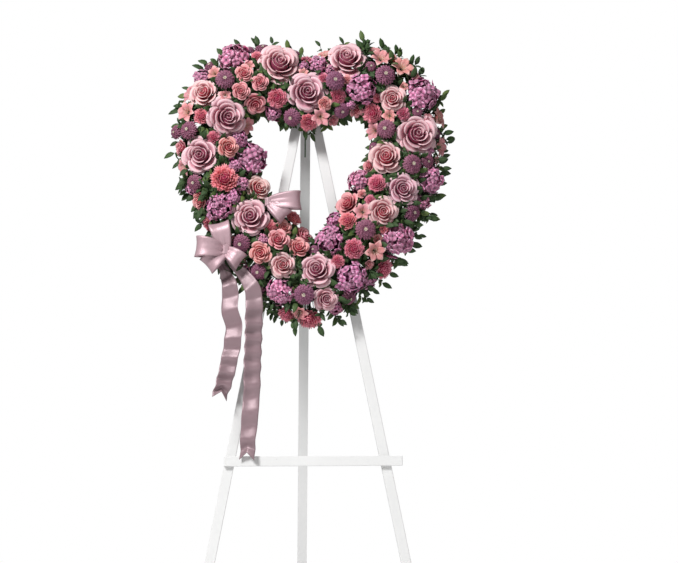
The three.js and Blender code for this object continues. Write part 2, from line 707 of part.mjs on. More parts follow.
// Builds every flower piece: its heads, its stem and the branches between its heads
const draw = seeded(11);
FLOWERS.forEach(([name, kind, colour]) => {
  const heads = headsOf.get(name);
  const pieces = [];
  heads.forEach((head, k) => {
    pieces.push(...placed(HEAD_SHAPES[kind](head.radius, draw), head, 2 * Math.PI * draw()));
    if (k === 0) {
      pieces.push(stem(jointOf(head), stemFoot(head)));
      return;
    }
    const earlier = heads.slice(0, k);
    const parent = earlier.reduce((a, b) =>
      (b.centre.distanceTo(head.centre) < a.centre.distanceTo(head.centre) ? b : a));
    const points = branchPath(parent, head);
    pieces.push(bar(points, 1.6, 3, points.length - 1));
    const bends = new THREE.CatmullRomCurve3(points).getSpacedPoints(points.length - 1);
    bends.slice(1).forEach((bend, i) => obstacles.push({ node: name, a: bends[i], b: bend, radius: 2 }));
  });
  const place = heads[0].centre;
  addPart(wreath, name, join(pieces), finish(colour, 0.75), place);
});

// Ribbon: looped strips gathered into a knot on a wire pick
function loop(knot, [ex, ey, ez], length, puff, width) {
  const along = vector(ex, ey, ez).normalize();
  const across = vector(-ez, 0, ex).normalize();
  const forward = vector().crossVectors(across, along).normalize();
  if (forward.y > 0) forward.negate();
  const steps = 8;
  const centres = [];
  for (let k = 0; k <= steps; k += 1) {
    const turn = (Math.PI * k) / steps;
    const swell = Math.sin(2 * turn) * Math.sin(turn) * puff;
    centres.push(
      vector(...knot)
        .addScaledVector(along, length * Math.sin(turn) ** 2)
        .addScaledVector(forward, (swell > 0 ? swell : 0.22 * swell) + 2.5 * Math.cos(turn)),
    );
  }
  const rows = centres.map((centre, k) => {
    const before = centres[Math.max(0, k - 1)];
    const after = centres[Math.min(steps, k + 1)];
    const half = (width / 2) * (0.34 + 0.66 * Math.sin((Math.PI * k) / steps) ** 0.7);
    return {
      points: [centre.clone().addScaledVector(across, -half), centre.clone().addScaledVector(across, half)],
      normal: vector().crossVectors(after.clone().sub(before), across),
    };
  });
  return strip(rows, RIBBON_THICK);
}

function pick(knot, side) {
  const near = nearestOnHeart(knot[0], knot[2]);
  return stem(vector(...knot), besideHeart(near, side, -28), 2);
}

const satin = () => finish(0xb898a4, 0.35);
const [kx, ky, kz] = KNOT;
const bow = join([
  box(kx - 9, kx + 9, ky - 7, ky + 8, kz - 8, kz + 8),
  loop(KNOT, [-0.25, 0, 0.97], 50, 24, RIBBON_WIDTH),
  loop(KNOT, [-1, -0.1, 0.1], 53, 24, RIBBON_WIDTH),
  loop(KNOT, [-0.75, 0, -0.66], 45, 18, 34),
  loop(KNOT, [0.78, 0, -0.62], 36, 20, 32),
  pick(KNOT, 15),
]);
addPart(wreath, 'ribbon_bow', bow, satin());

const [ix, iy, iz] = INNER_KNOT;
const innerLoops = join([
  box(ix - 6, ix + 6, iy - 5, iy + 5, iz - 6, iz + 6),
  loop(INNER_KNOT, [1, 0, 0.05], 58, 20, 34),
  loop(INNER_KNOT, [0.74, 0, -0.67], 42, 16, 30),
  pick(INNER_KNOT, -15),
]);
addPart(wreath, 'ribbon_loops_inner', innerLoops, satin());

// Ribbon tails hang plumb from the knot: world x, y behind the apex, world z, and half width
function toWreath(x, y, z) {
  const point = vector(x, APEX_Y + y, z);
  return point.applyMatrix4(wreath.matrixWorld.clone().invert());
}

function tail(path, lean, notch) {
  const curve = new THREE.CatmullRomCurve3(path.map(([x, y, z]) => toWreath(x, y, z)));
  const halves = new THREE.CatmullRomCurve3(path.map(([, , , half], k) => vector(half, 0, k)));
  const steps = 2 * (path.length - 1);
  const rows = [];
  for (let k = 0; k <= steps; k += 1) {
    const share = k / steps;
    const centre = curve.getPoint(share);
    const down = curve.getTangent(share);
    const half = halves.getPoint(share).x;
    const turn = lean * Math.sin(Math.PI * share * 2.5);
    const sideways = vector(Math.cos(turn), Math.sin(turn), 0);
    const across = sideways.addScaledVector(down, -sideways.dot(down)).normalize();
    const last = k === steps;
    const middle = last ? centre.clone().addScaledVector(down, -notch) : centre;
    rows.push({
      points: [
        centre.clone().addScaledVector(across, -half),
        middle,
        centre.clone().addScaledVector(across, half),
      ],
      normal: vector().crossVectors(down, across),
    });
  }
  return solidOf(strip(rows, RIBBON_THICK));
}

const leftTail = tail([
  [-153.7, -95.6, 857.5, 4],
  [-154.2, -94.6, 851, 5],
  [-155, -91, 840, 7],
  [-148, -92.5, 825, 10.5],
  [-140, -99, 800, 14],
  [-140, -106, 765, 16],
  [-133, -103, 720, 16],
  [-141, -105, 669, 15],
  [-149, -103, 635, 15],
  [-160, -104, 600, 14],
], 0.35, 14);
addPart(wreath, 'ribbon_tail_left', leftTail, satin());

const rightTail = tail([
  [-144.4, -95.7, 857.35, 4],
  [-144, -95.4, 851, 4.2],
  [-135, -93, 840, 7],
  [-119, -95.5, 826, 10.5],
  [-101, -106, 800, 14],
  [-97, -112, 780, 15],
  [-97, -108, 755, 16],
  [-98, -104, 710, 16],
  [-100, -107, 660, 16],
  [-101, -104, 610, 15],
  [-105, -106, 560, 15],
  [-108, -102.5, 520, 14],
  [-109, -101.5, 490, 14],
], -0.3, 14);
addPart(wreath, 'ribbon_tail_right', rightTail, satin());

// Wire ties round the legs, their ends pushed through the tray into the foam
function tie(x, z, half, back, tailLength) {
  const depth = -15;
  const pieces = [-half, half].map((side) => {
    const outside = vector(x + side, back, z);
    const inside = vector(x + side, depth, z);
    const hole = bar([outside, vector(x + side, depth - SEAT, z)], WIRE_RADIUS + SEAT, 6);
    foamHoles.push(hole);
    trayHoles.push(hole);
    return bar([outside, inside], WIRE_RADIUS, 6);
  });
  pieces.push(bar([vector(x - half - 1, back, z), vector(x + half + 1, back, z)], WIRE_RADIUS, 6));
  if (tailLength) {
    const middle = x - 1;
    pieces.push(bar([vector(middle, back, z + 1), vector(middle - 1, back + 1, z - tailLength)], 1.2, 6));
  }
  return join(pieces);
}
const wire = () => finish(0x3c5a3a, 0.5);
const legX = (z) => -z * Math.tan(SPLAY);
const toHeart = (x, z) => [x - HEART_X, z + HEART_DROP];
const topTie = tie(...toHeart(0, -52), 26, blockBack + SEAT + WIRE_RADIUS, 94);
addPart(wreath, 'wire_tie_top', topTie, wire());
const sideTieBack = LEG_THICK + SEAT + WIRE_RADIUS;
[['left', -1], ['right', 1]].forEach(([side, sign]) => {
  const solid = tie(...toHeart(sign * legX(-330), -330), 10.8, sideTieBack, 0);
  addPart(wreath, `wire_tie_${side}`, solid, wire());
});

// Foliage: leafy stems along the sides of the foam, with leaves standing out between the flowers
const leafObstacles = [
  ...obstacles,
  ...allHeads.map((head) => ({ node: '', a: head.centre, b: head.centre, radius: 0.96 * head.radius })),
  ...ribbonKeepouts.map(({ centre, radius }) => ({ node: '', a: centre, b: centre, radius: radius + 3 })),
];

function leaf(base, direction, up, length, width) {
  const along = direction.clone().normalize();
  const across = vector().crossVectors(along, up).normalize();
  const lift = vector().crossVectors(across, along).normalize();
  const at = (share, side, rise) => base.clone()
    .addScaledVector(along, share * length)
    .addScaledVector(across, side * width)
    .addScaledVector(lift, rise * width);
  return {
    centre: at(0.45, 0, 0),
    ring: [at(-0.06, 0, 0), at(0.42, 0.5, 0.16), at(1, 0, -0.12), at(0.42, -0.5, 0.16)],
  };
}

function clearOf(points, margin) {
  return points.every((point) => leafObstacles.every(({ a, b, radius }) =>
    toSegment(point, a, b) > radius + margin));
}

function garland(from, to, side, spacing, seed) {
  const random = seeded(seed);
  const line = DENSE_LINE.slice(from, to);
  const at = (k, lateral, y) => {
    const { point, outward } = line[k];
    const unit = outward.clone().normalize();
    return vector(point.x + side * lateral * unit.x, y, point.y + side * lateral * unit.y);
  };
  const knots = [];
  for (let k = 0; k < line.length; k += 8) knots.push(at(k, 28.8, -13));
  const curve = new THREE.CatmullRomCurve3(knots);
  const pieces = [bar(knots, 1.6, 3, knots.length)];
  const entry = curve.getPointAt(0.03);
  const entryNear = nearestOnHeart(entry.x, entry.z);
  pieces.push(stem(entry, besideHeart(entryNear, side * 13, -16), 2.4));
  const count = Math.round(curve.getLength() / spacing);
  let sign = 1;
  for (let k = 0; k < count; k += 1) {
    sign = -sign;
    const root = curve.getPointAt((k + 0.5) / count);
    const { direction: outward } = nearestOnHeart(root.x, root.z);
    const unit = outward.clone().multiplyScalar(side);
    const tangent = vector(-unit.y, 0, unit.x);
    const tries = [50, 32, 16, 4].map((tilt) => (tilt + 8 * random()) * DEGREE);
    const length = 34 + 8 * random();
    for (let t = 0; t < tries.length; t += 1) {
      const direction = vector(unit.x, 0, unit.y).multiplyScalar(Math.cos(tries[t]))
        .addScaledVector(vector(0, -1, 0), Math.sin(tries[t]))
        .addScaledVector(tangent, sign * (0.35 + 0.4 * random()));
      const shape = leaf(root, direction, vector(0, -1, 0.01), length, 15);
      if (clearOf([shape.centre, ...shape.ring.slice(1)], 1.5) && shape.ring.every((p) => p.y < -2)) {
        pieces.push(blade(shape.centre, shape.ring, LEAF_THICK));
        break;
      }
    }
  }
  return join(pieces);
}

const leafGreen = (colour) => finish(colour, 0.55);
addPart(wreath, 'foliage_outer_right', garland(14, 146, 1, 38, 3), leafGreen(0x2f5a2f));
addPart(wreath, 'foliage_outer_left', garland(212, 286, 1, 32, 5), leafGreen(0x2f5a2f));
addPart(wreath, 'foliage_outer_bottom', garland(154, 190, 1, 22, 9), leafGreen(0x33602f));
addPart(wreath, 'foliage_inner_right', garland(20, 118, -1, 46, 7), leafGreen(0x3a6633));
addPart(wreath, 'foliage_inner_left', garland(196, 280, -1, 46, 13), leafGreen(0x3a6633));

// Backing tray and foam, with the holes that stems and wires go through
const tray = heartRing([
  [-TRAY_HALF_WIDTH, TRAY_BACK],
  [TRAY_HALF_WIDTH, TRAY_BACK],
  [TRAY_HALF_WIDTH, TRAY_FRONT],
  [-TRAY_HALF_WIDTH, TRAY_FRONT],
]).subtract(join(trayHoles));
addPart(wreath, 'backing_tray', tray, finish(0x2c4a34, 0.6));

const foam = heartRing([
  [-FOAM_HALF_WIDTH, FOAM_BACK],
  [FOAM_HALF_WIDTH, FOAM_BACK],
  [FOAM_HALF_WIDTH, FOAM_FRONT + FOAM_CHAMFER],
  [FOAM_HALF_WIDTH - FOAM_CHAMFER, FOAM_FRONT],
  [FOAM_CHAMFER - FOAM_HALF_WIDTH, FOAM_FRONT],
  [-FOAM_HALF_WIDTH, FOAM_FRONT + FOAM_CHAMFER],
]).subtract(join(foamHoles));
addPart(wreath, 'foam_heart', foam, finish(0x3f6b45, 0.95));

export default wreathAndEasel;
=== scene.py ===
"""Dresses a heart-shaped funeral wreath and its folding easel: petals, leaves, satin ribbon and painted wood.

Lengths inside the shape functions are millimetres in the wreath's own frame; to_world turns them into metres.
"""

import math

import bmesh
import bpy
import numpy as np
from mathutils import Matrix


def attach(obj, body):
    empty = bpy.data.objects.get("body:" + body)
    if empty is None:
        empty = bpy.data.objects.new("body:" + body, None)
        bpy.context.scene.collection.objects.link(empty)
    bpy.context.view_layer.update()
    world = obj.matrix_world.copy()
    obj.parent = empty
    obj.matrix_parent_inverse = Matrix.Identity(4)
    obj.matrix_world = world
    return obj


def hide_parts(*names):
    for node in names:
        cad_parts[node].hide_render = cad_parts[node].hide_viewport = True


bl_info = {
    "name": "Funeral Wreath",
    "version": (1, 0, 0),
    "blender": (4, 5, 0),
    "location": "View3D > Sidebar > Wreath",
    "description": "Builds the flowers, leaves, ribbon and finishes of a funeral wreath on its easel",
    "category": "Object",
}

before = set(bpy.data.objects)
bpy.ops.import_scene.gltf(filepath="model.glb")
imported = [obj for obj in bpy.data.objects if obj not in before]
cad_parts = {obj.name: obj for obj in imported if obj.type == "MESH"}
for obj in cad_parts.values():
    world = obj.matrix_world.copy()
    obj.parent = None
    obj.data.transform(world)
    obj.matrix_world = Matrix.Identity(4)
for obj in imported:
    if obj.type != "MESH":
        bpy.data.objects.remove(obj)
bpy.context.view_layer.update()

MM = 0.001
# The easel: how far it leans back and each leg splays, a leg's length, and the point where the two legs meet
LEAN = math.radians(7)
SPLAY = math.radians(11.22)
LEG_LENGTH = 1220
APEX = np.array([0, -100.8, LEG_LENGTH * math.cos(SPLAY) * math.cos(LEAN)])
# The middle of the heart, to the right of that point and below it
HEART_X = 5
HEART_DROP = 214
# The oval shell that the heads stand on: its half width, its height, and the depth that it rises from
SHELL_SIDE = 62
SHELL_FRONT = 45
SHELL_MIDDLE = -25
# The depth in the foam where stems and sprigs end
STEM_FOOT = -30
# Heads are pushed apart in at most this many rounds, until two stand this share of their radii apart, and a small
# head is put in where it stands the smaller share apart
PUSHES = 80
CROWDING = 0.98
SMALL_CROWDING = 0.80
# The number of sprigs added along the tip of the heart
TIP_SPRIGS = 16
# The ribbon: the middles of its two knots, how deep the dovetail is cut, and the distance between its creases
KNOT = (-153, -62, -117)
INNER_KNOT = (-76, -62, -30)
DOVETAIL = 14
CREASE_SPACING = 34
# Thicknesses of a leaf, a ribbon's loop, the wrap round a knot and a hanging tail
LEAF_THICKNESS = 0.5
LOOP_THICKNESS = 0.45
WRAP_THICKNESS = 0.6
TAIL_THICKNESS = 0.4
# Radii in metres on the edges of the bracket and its bolt, and on the ends of the wires
STEEL_EASE = 0.0003
WIRE_EASE = 0.0002
# The stage: light from all round, the floor's radius, and the camera's place, turn and lens on a 36 mm sensor
AMBIENT = 0.13
FLOOR_RADIUS = 1650
CAMERA_PLACE = (-0.1051, -3.4898, 0.810)
CAMERA_TURN = math.radians(-2.8)
CAMERA_LENS = 97.3
# The lamps: name, place, height of the point aimed at, size and watts
LAMPS = (
    ("key", (-1.6, -2.2, 3.0), 0.8, 0.8, 135),
    ("fill", (2.0, -2.6, 1.2), 0.8, 2.0, 9),
    ("low", (0.3, -1.9, 0.12), 0.3, 1.0, 5),
    ("rear", (0.8, 2.6, 2.6), 0.8, 1.6, 22),
)

# The right half of the heart's middle line: three cubic curves of four points (x, z)
HALF_HEART = np.array([
    [[0, 160], [26, 186], [56, 197], [90, 197]],
    [[90, 197], [140, 197], [174, 152], [174, 98]],
    [[174, 98], [178, 20], [100, -110], [0, -176]],
], float)

# The kinds of flower: how far each stands ahead of the shell, how firmly it keeps its place, how far behind its
# middle the calyx sits, the radius of the solid ball that its petals stand on and how far back that sits, the last
# three as shares of the head's radius, and its material slots
KINDS = {
    "rose": (0, 8, 0.50, 0.44, 0.17, ["rose_petals"]),
    "spray_rose": (6, 1.5, 0.50, 0.42, 0.17, ["spray_rose_petals"]),
    "carnation": (5, 1.5, 0.52, 0.42, 0.15, ["carnation_petals"]),
    "mum": (7, 1, 0.34, 0, 0, ["mum_petals", "mum_eye"]),
    "hydrangea": (-2, 3, 0.30, 0.54, 0.08, ["hydrangea_florets"]),
    "lily": (5, 1, 0.42, 0, 0, ["pink_lily_petals", "mum_eye"]),
}

# The pieces of each kind: the CAD node, and x, z and diameter of every head
FLOWERS = {
    "rose": {
        "rose_top_left": [(-54, 225, 78)], "rose_cleft": [(-5, 173, 73)], "rose_top_right": [(67, 232, 73)],
        "rose_right_upper": [(194, 94, 79)], "rose_right_inner": [(137, 54, 62)],
        "rose_right_middle": [(166, -7, 58)], "rose_right_lower": [(131, -49, 56)],
        "rose_left_upper": [(-148, 124, 73)], "rose_left_middle": [(-191, 54, 69)],
        "rose_left_side": [(-189, 169, 56)], "rose_left_lower": [(-108, -54, 69)],
        "rose_left_inner": [(-92, -5, 48)], "rose_bottom": [(9, -153, 64)], "rose_peach_upper": [(149, 160, 50)],
        "rose_bottom_left": [(-49, -144, 48)], "rose_bottom_tip": [(27, -205, 46)],
    },
    "spray_rose": {
        "spray_roses_top_left": [(-106, 157, 43), (-128, 167, 34), (-125, 193, 34), (-92, 182, 34)],
        "spray_roses_left": [(-158, 72, 41), (-232, 72, 34), (-187, -22, 36)],
        "spray_roses_bottom": [(-61, -110, 41), (-90, -115, 43), (-31, -113, 41), (-20, -90, 43)],
        "spray_rose_right_inner": [(68, -43, 46)],
    },
    "carnation": {
        "carnation_left": [(-164, 23, 55)], "carnation_top_left": [(-68, 158, 41)],
        "carnations_right": [(110, 140, 41), (115, 4, 38)],
        "carnations_lower_right": [(68, -119, 41), (64, -62, 38), (135, -149, 43)],
        "carnations_bottom": [(-40, -229, 36), (-9, -239, 50)], "carnation_inner_bottom": [(-25, -65, 36)],
    },
    "mum": {
        "mums_left": [(-218, 103, 37), (-243, 101, 29), (-153, 178, 39), (-198, 2, 34)],
        "mums_lower_left": [(-95, -185, 39), (-126, -97, 37), (-9, -194, 41)],
        "mums_cleft": [(34, 198, 39), (58, 139, 32), (-32, 128, 37)],
        "mums_top_right": [(137, 200, 41), (142, 101, 39)],
        "mums_right": [(185, -47, 37), (184, 38, 39), (92, -74, 41)],
    },
    "hydrangea": {
        "hydrangea_top_left": [(-139, 239, 65)], "hydrangeas_left": [(-119, 52, 70), (-164, -38, 53)],
        "hydrangeas_top_right": [(92, 180, 58), (203, 171, 70)],
        "hydrangeas_right": [(153, -95, 70), (218, 13, 60), (72, -158, 65), (52, -94, 58), (88, 5, 51)],
        "hydrangea_bottom_left": [(-54, -187, 56)],
    },
    "lily": {
        "lilies_top_right": [(169, 221, 42), (130, 235, 39), (236, 131, 42), (229, 81, 39)],
        "lily_lower_right": [(112, -115, 39)], "lily_left": [(-220, 133, 39)],
    },
}
PALE_ROSES = {"rose_right_inner", "rose_right_lower", "rose_left_side", "rose_left_inner", "rose_peach_upper",
              "rose_bottom_left"}
# Room kept for the ribbon: x, y, z and radius
RIBBON_ROOM = [(*KNOT, 12), (-164, -66, -88, 18), (-183, -66, -115, 18), (*INNER_KNOT, 10), (-50, -66, -30, 17),
               (-54, -66, -46, 16)]
# Each garland: its first and last station on the heart's line, its side, 1 outside or -1 inside, and the nearest
# and furthest that its sprigs reach from the line
GARLANDS = {
    "foliage_outer_right": (0, 150, 1, 50, 84),
    "foliage_outer_left": (192, 300, 1, 50, 76),
    "foliage_outer_bottom": (150, 192, 1, 50, 90),
    "foliage_inner_right": (0, 150, -1, 42, 58),
    "foliage_inner_left": (150, 300, -1, 42, 58),
}


class WreathSizes(bpy.types.PropertyGroup):
    petal_thickness: bpy.props.FloatProperty(
        name="Petal thickness", description="Thickness of a flower's petals", default=0.0006, unit="LENGTH")
    leaf_length: bpy.props.FloatProperty(
        name="Leaf length", description="Length of the larger leaves", default=0.022, unit="LENGTH")
    leaf_width: bpy.props.FloatProperty(
        name="Leaf width", description="Width of the larger leaves", default=0.0125, unit="LENGTH")
    sprig_spacing: bpy.props.FloatProperty(
        name="Sprig spacing", description="Distance between sprigs along the heart", default=0.0118, unit="LENGTH")
    ribbon_width: bpy.props.FloatProperty(
        name="Ribbon width", description="Width of the satin ribbon", default=0.038, unit="LENGTH")
    edge_ease: bpy.props.FloatProperty(
        name="Edge ease", description="Radius sanded on the edges of the easel's laths", default=0.0012,
        unit="LENGTH")


class WreathColours(bpy.types.PropertyGroup):
    rose: bpy.props.FloatVectorProperty(
        name="Rose", description="Body of the mauve roses", default=(0.66, 0.23, 0.325), subtype="COLOR")
    rose_rim: bpy.props.FloatVectorProperty(
        name="Rose rim", description="Pale rims of the rose petals", default=(0.90, 0.59, 0.64), subtype="COLOR")
    # Painted shade: the dark colour that the rose petals sink to toward their feet and in the inner tiers
    rose_heart_shade: bpy.props.FloatVectorProperty(
        name="Rose heart", description="Deep colour between the inner petals", default=(0.17, 0.006, 0.028),
        subtype="COLOR")
    ribbon: bpy.props.FloatVectorProperty(
        name="Ribbon", description="Dusty mauve satin", default=(0.51, 0.335, 0.375), subtype="COLOR")
    leaf: bpy.props.FloatVectorProperty(
        name="Leaf", description="Dark glossy leaf", default=(0.010, 0.028, 0.005), subtype="COLOR")
    paint: bpy.props.FloatVectorProperty(
        name="Paint", description="White satin paint of the easel", default=(0.80, 0.80, 0.795), subtype="COLOR")


def maths(operation, swapped=False):
    """A method of Socket that adds one Math node; when swapped, the other value comes first."""
    def method(self, *others):
        values = (*others, self) if swapped else (self, *others)
        return self.shader.node("Math", {"operation": operation}, dict(enumerate(values)))["Value"]

    return method


class Socket:
    """One output of a shader tree. Arithmetic on it adds Math nodes to the tree."""

    def __init__(self, shader, socket):
        self.shader = shader
        self.socket = socket

    __add__, __radd__ = maths("ADD"), maths("ADD", True)
    __sub__, __rsub__ = maths("SUBTRACT"), maths("SUBTRACT", True)
    __mul__, __rmul__ = maths("MULTIPLY"), maths("MULTIPLY", True)
    __pow__, __rpow__ = maths("POWER"), maths("POWER", True)
    size, exponent, wave = maths("ABSOLUTE"), maths("EXPONENT"), maths("SINE")
    above, least = maths("GREATER_THAN"), maths("MINIMUM")


class Added:
    """A node added to a shader; indexing it gives one of its outputs."""

    def __init__(self, shader, made):
        self.shader = shader
        self.made = made

    def __getitem__(self, name):
        return Socket(self.shader, self.made.outputs[name])


class Shader:
    """The nodes of a material or of the world."""

    def __init__(self, owner):
        owner.use_nodes = True
        self.tree = owner.node_tree

    def node(self, kind, settings=None, values=None):
        """Adds a shader node of that kind: its settings first, then the values or links of its inputs."""
        made = self.tree.nodes.new("ShaderNode" + kind)
        for name, setting in (settings or {}).items():
            if name == "stops":
                ramp = made.color_ramp.elements
                while len(ramp) < len(setting):
                    ramp.new(1.0)
                for element, (place, colour) in zip(ramp, setting):
                    element.position = place
                    element.color = (*colour, 1.0)
            else:
                setattr(made, name, setting)
        for name, value in (values or {}).items():
            self.put(made.inputs[name], value)
        return Added(self, made)

    def put(self, entry, value):
        """Links an output to an input, or sets its value; a colour of three numbers gets a fourth, 1."""
        if isinstance(value, Socket):
            self.tree.links.new(value.socket, entry)
        elif entry.type == "RGBA" and len(value) == 3:
            entry.default_value = (*value, 1.0)
        else:
            entry.default_value = value


class Finish(Shader):
    """A material, built node by node round one Principled surface."""

    def __init__(self, name):
        self.material = bpy.data.materials.new(name)
        super().__init__(self.material)
        self.surface = self.tree.nodes["Principled BSDF"]

    def paint(self, **values):
        """Sets the Principled surface's sockets; underscores stand for spaces."""
        for name, value in values.items():
            self.put(self.surface.inputs[name.replace("_", " ").title().replace("Ior", "IOR")], value)

    def mixed(self, factor, first, second):
        """The first colour where the factor is 0, the second where it is 1, and a blend of them between."""
        return self.node("Mix", {"data_type": "RGBA"}, {0: factor, 6: first, 7: second})[2]

    def attribute(self, name):
        """The three numbers kept in a vertex attribute."""
        seen = self.node("Attribute", {"attribute_name": name})["Vector"]
        parts = self.node("SeparateXYZ", values={"Vector": seen})
        return parts["X"], parts["Y"], parts["Z"]

    def vector(self, x, y, z):
        return self.node("CombineXYZ", values={"X": x, "Y": y, "Z": z})["Vector"]

    def object_point(self):
        return self.node("TexCoord")["Object"]

    def noise(self, point, scale, detail=3.0, rough=0.5):
        values = {"Vector": point, "Scale": scale, "Detail": detail, "Roughness": rough}
        return self.node("TexNoise", values=values)["Fac"]

    def bump(self, height, strength, distance):
        values = {"Height": height, "Strength": strength, "Distance": distance}
        self.paint(normal=self.node("Bump", values=values)["Normal"])


def shade(colour, factor):
    """The colour times the factor, kept from 0 to 1."""
    return tuple(min(1.0, max(0.0, channel * factor)) for channel in colour)


def petal_finish(name, base, body, rim, heart, rim_start, veins=16.0, deep=0.8, spread=0.22):
    """Petals: base to body to rim along the petal; painted shade darkens their feet and sinks to the heart's colour
    in the inner tiers.

    The rim's colour starts at rim_start, veins is how many streaks lie across a petal, deep is how strongly the
    heart's painted shade sinks in, and spread is how much the petals differ in brightness. The place attribute
    holds u across, v from base to rim and the tier from 0 outside to 1 in the middle. The draw attribute holds a
    number for each petal, one for each head, and 1 on the underside.
    """
    finish = Finish(name)
    across, along, tier = finish.attribute("place")
    petal, head, under = finish.attribute("draw")
    streaks = finish.noise(finish.vector(across * veins + petal * 40, along * 2.2, petal * 9), 1.0)
    cloud = finish.noise(finish.vector(across * 1.4 + petal * 30, along * 1.6, head * 20), 1.3, 2.0)
    place = along + (streaks - 0.5) * 0.14
    # Painted shade: the base colour and the body at 0.62 darken the lower part of each petal, where it lies under
    # the others; the base colour is also the petal's own tint at its foot
    stops = [(0.0, base), (0.38, shade(body, 0.62)), (rim_start - 0.12, body), (rim_start + 0.08, rim), (1.0, rim)]
    length = finish.node("ValToRGB", {"stops": stops}, {"Fac": place})["Color"]
    # Painted shade: toward each petal's base, and more in the inner tiers, the colour sinks to the heart's dark
    # colour
    depth = (1 - along) * (0.3 + tier * 1.5) * deep + tier ** 3 * (0.3 * deep)
    colour = finish.mixed(depth.least(1.0), length, heart)
    tint = finish.node("HueSaturation", values={
        "Hue": 0.5 + (head - 0.5) * 0.035,
        "Saturation": 0.86 + cloud * 0.3,
        "Value": 1.02 - spread + petal * spread + (head - 0.5) * 0.14,
        "Color": colour,
    })["Color"]
    pale = finish.mixed(under * 0.35, tint, shade(rim, 0.85))
    finish.paint(base_color=pale, roughness=0.5 + (streaks - 0.5) * 0.2)
    finish.paint(sheen_weight=0.04, sheen_roughness=0.4, specular_ior_level=0.3, subsurface_weight=0.1,
                 subsurface_radius=(0.004, 0.0015, 0.0015), subsurface_scale=0.6)
    finish.bump(streaks + cloud * 0.8, 0.35, 0.0006)
    return finish.material


def leaf_finish(name, body):
    """Glossy leaves: a pale midrib, side veins slanting off it, and leaves drawn from dark to yellow-green."""
    finish = Finish(name)
    across, along, kind = finish.attribute("place")
    leaf, sprig, under = finish.attribute("draw")
    rib = (across.size() * -9.0).exponent()
    side = ((along * 26 - across.size() * 5).wave() * 0.5 + 0.5) ** 6
    fresh = finish.node("ValToRGB", {"stops": [
        (0.0, shade(body, 0.55)), (0.45, body), (0.72, (0.028, 0.066, 0.012)), (0.95, (0.17, 0.21, 0.04))]},
        {"Fac": leaf * 0.62 + sprig * 0.42})["Color"]
    veined = finish.mixed(rib * 0.3 + side * 0.08, fresh, (0.16, 0.22, 0.07))
    back = finish.mixed(under * 0.5, veined, (0.05, 0.10, 0.035))
    finish.paint(base_color=back, roughness=0.42 + under * 0.25 + side * 0.1)
    finish.paint(specular_ior_level=0.35, coat_weight=0.06, coat_roughness=0.3)
    finish.bump(rib * -1.0 - side * 0.5, 0.5, 0.0005)
    return finish.material


def satin_finish(name, body):
    """Satin: a bright face with fine threads across, faint slubs, and a sheen at grazing angles; painted shade
    makes it darker where the place attribute's third number is 1, on the hanging tails."""
    finish = Finish(name)
    across, along, tail_shade = finish.attribute("place")
    threads = (along * 2600).wave() * 0.5 + (across * 260).wave() * 0.5
    slub = finish.noise(finish.vector(across * 3, along * 160, 0.0), 1.0, 2.0)
    wide = finish.noise(finish.object_point(), 22.0, 2.0)
    selvedge = across.size().above(0.955)
    colour = finish.mixed(wide, shade(body, 0.82), shade(body, 1.2))
    threaded = finish.mixed(slub * 0.25, colour, shade(body, 1.35))
    # Painted shade: the hanging tails are drawn darker, toward 0.3 of the ribbon's colour
    threaded = finish.mixed(tail_shade * 0.62, threaded, shade(body, 0.3))
    finish.paint(base_color=finish.mixed(selvedge * 0.6, threaded, shade(body, 0.7)),
                 roughness=0.40 + slub * 0.12 + selvedge * 0.2)
    finish.paint(metallic=0.25, sheen_weight=0.25, sheen_roughness=0.3, anisotropic=0.4, specular_ior_level=0.9)
    finish.bump(threads + slub * 2, 0.25, 0.0001)
    return finish.material


def paint_finish(name, body):
    """Satin paint brushed along a lath: faint grain under it, brush drag, and rubbed grey at knocks."""
    finish = Finish(name)
    point = finish.object_point()
    stretched = finish.node("Mapping", values={"Vector": point, "Scale": (1.0, 1.0, 0.05)})["Vector"]
    grain = finish.noise(stretched, 420.0, 4.0)
    broad = finish.noise(point, 9.0)
    knocks = finish.noise(point, 60.0, 5.0, 0.7)
    rubbed = knocks.above(0.69)
    base = finish.mixed(broad, shade(body, 0.93), shade(body, 1.04))
    dragged = finish.mixed(grain * 0.3, base, shade(body, 0.84))
    finish.paint(base_color=finish.mixed(rubbed * 0.35, dragged, (0.55, 0.52, 0.48)),
                 roughness=0.36 + grain * 0.2 + rubbed * 0.2)
    finish.bump(grain + rubbed * -0.4, 0.25, 0.0004)
    return finish.material


def metal_finish(name, colour, metallic, roughness):
    """Plated or lacquered metal: fine drawn lines, dull patches and a little dirt."""
    finish = Finish(name)
    point = finish.object_point()
    lines = finish.noise(finish.node("Mapping", values={"Vector": point, "Scale": (0.1, 1, 1)})["Vector"], 2500.0)
    patches = finish.noise(point, 130.0, 4.0)
    finish.paint(base_color=finish.mixed(patches, shade(colour, 0.75), colour), metallic=metallic,
                 roughness=roughness + lines * 0.12 + patches * 0.12)
    finish.bump(lines, 0.2, 0.0001)
    return finish.material


def foam_finish(name, colour):
    """Soaked floral foam: fine open cells and dark wet patches."""
    finish = Finish(name)
    point = finish.object_point()
    cells = finish.noise(point, 1800.0, 3.0, 0.7)
    wet = finish.noise(point, 40.0)
    finish.paint(base_color=finish.mixed(wet, shade(colour, 0.5), colour), roughness=0.6 + cells * 0.35)
    finish.bump(cells, 0.6, 0.0006)
    return finish.material


def tray_finish(name, colour):
    """Moulded plastic: a fine spark texture and faint scuffs."""
    finish = Finish(name)
    point = finish.object_point()
    spark = finish.noise(point, 2400.0, 2.0)
    scuff = finish.noise(point, 55.0, 5.0, 0.7)
    finish.paint(base_color=finish.mixed(scuff * 0.5, colour, shade(colour, 1.5)), roughness=0.42 + scuff * 0.25)
    finish.bump(spark, 0.25, 0.0002)
    return finish.material
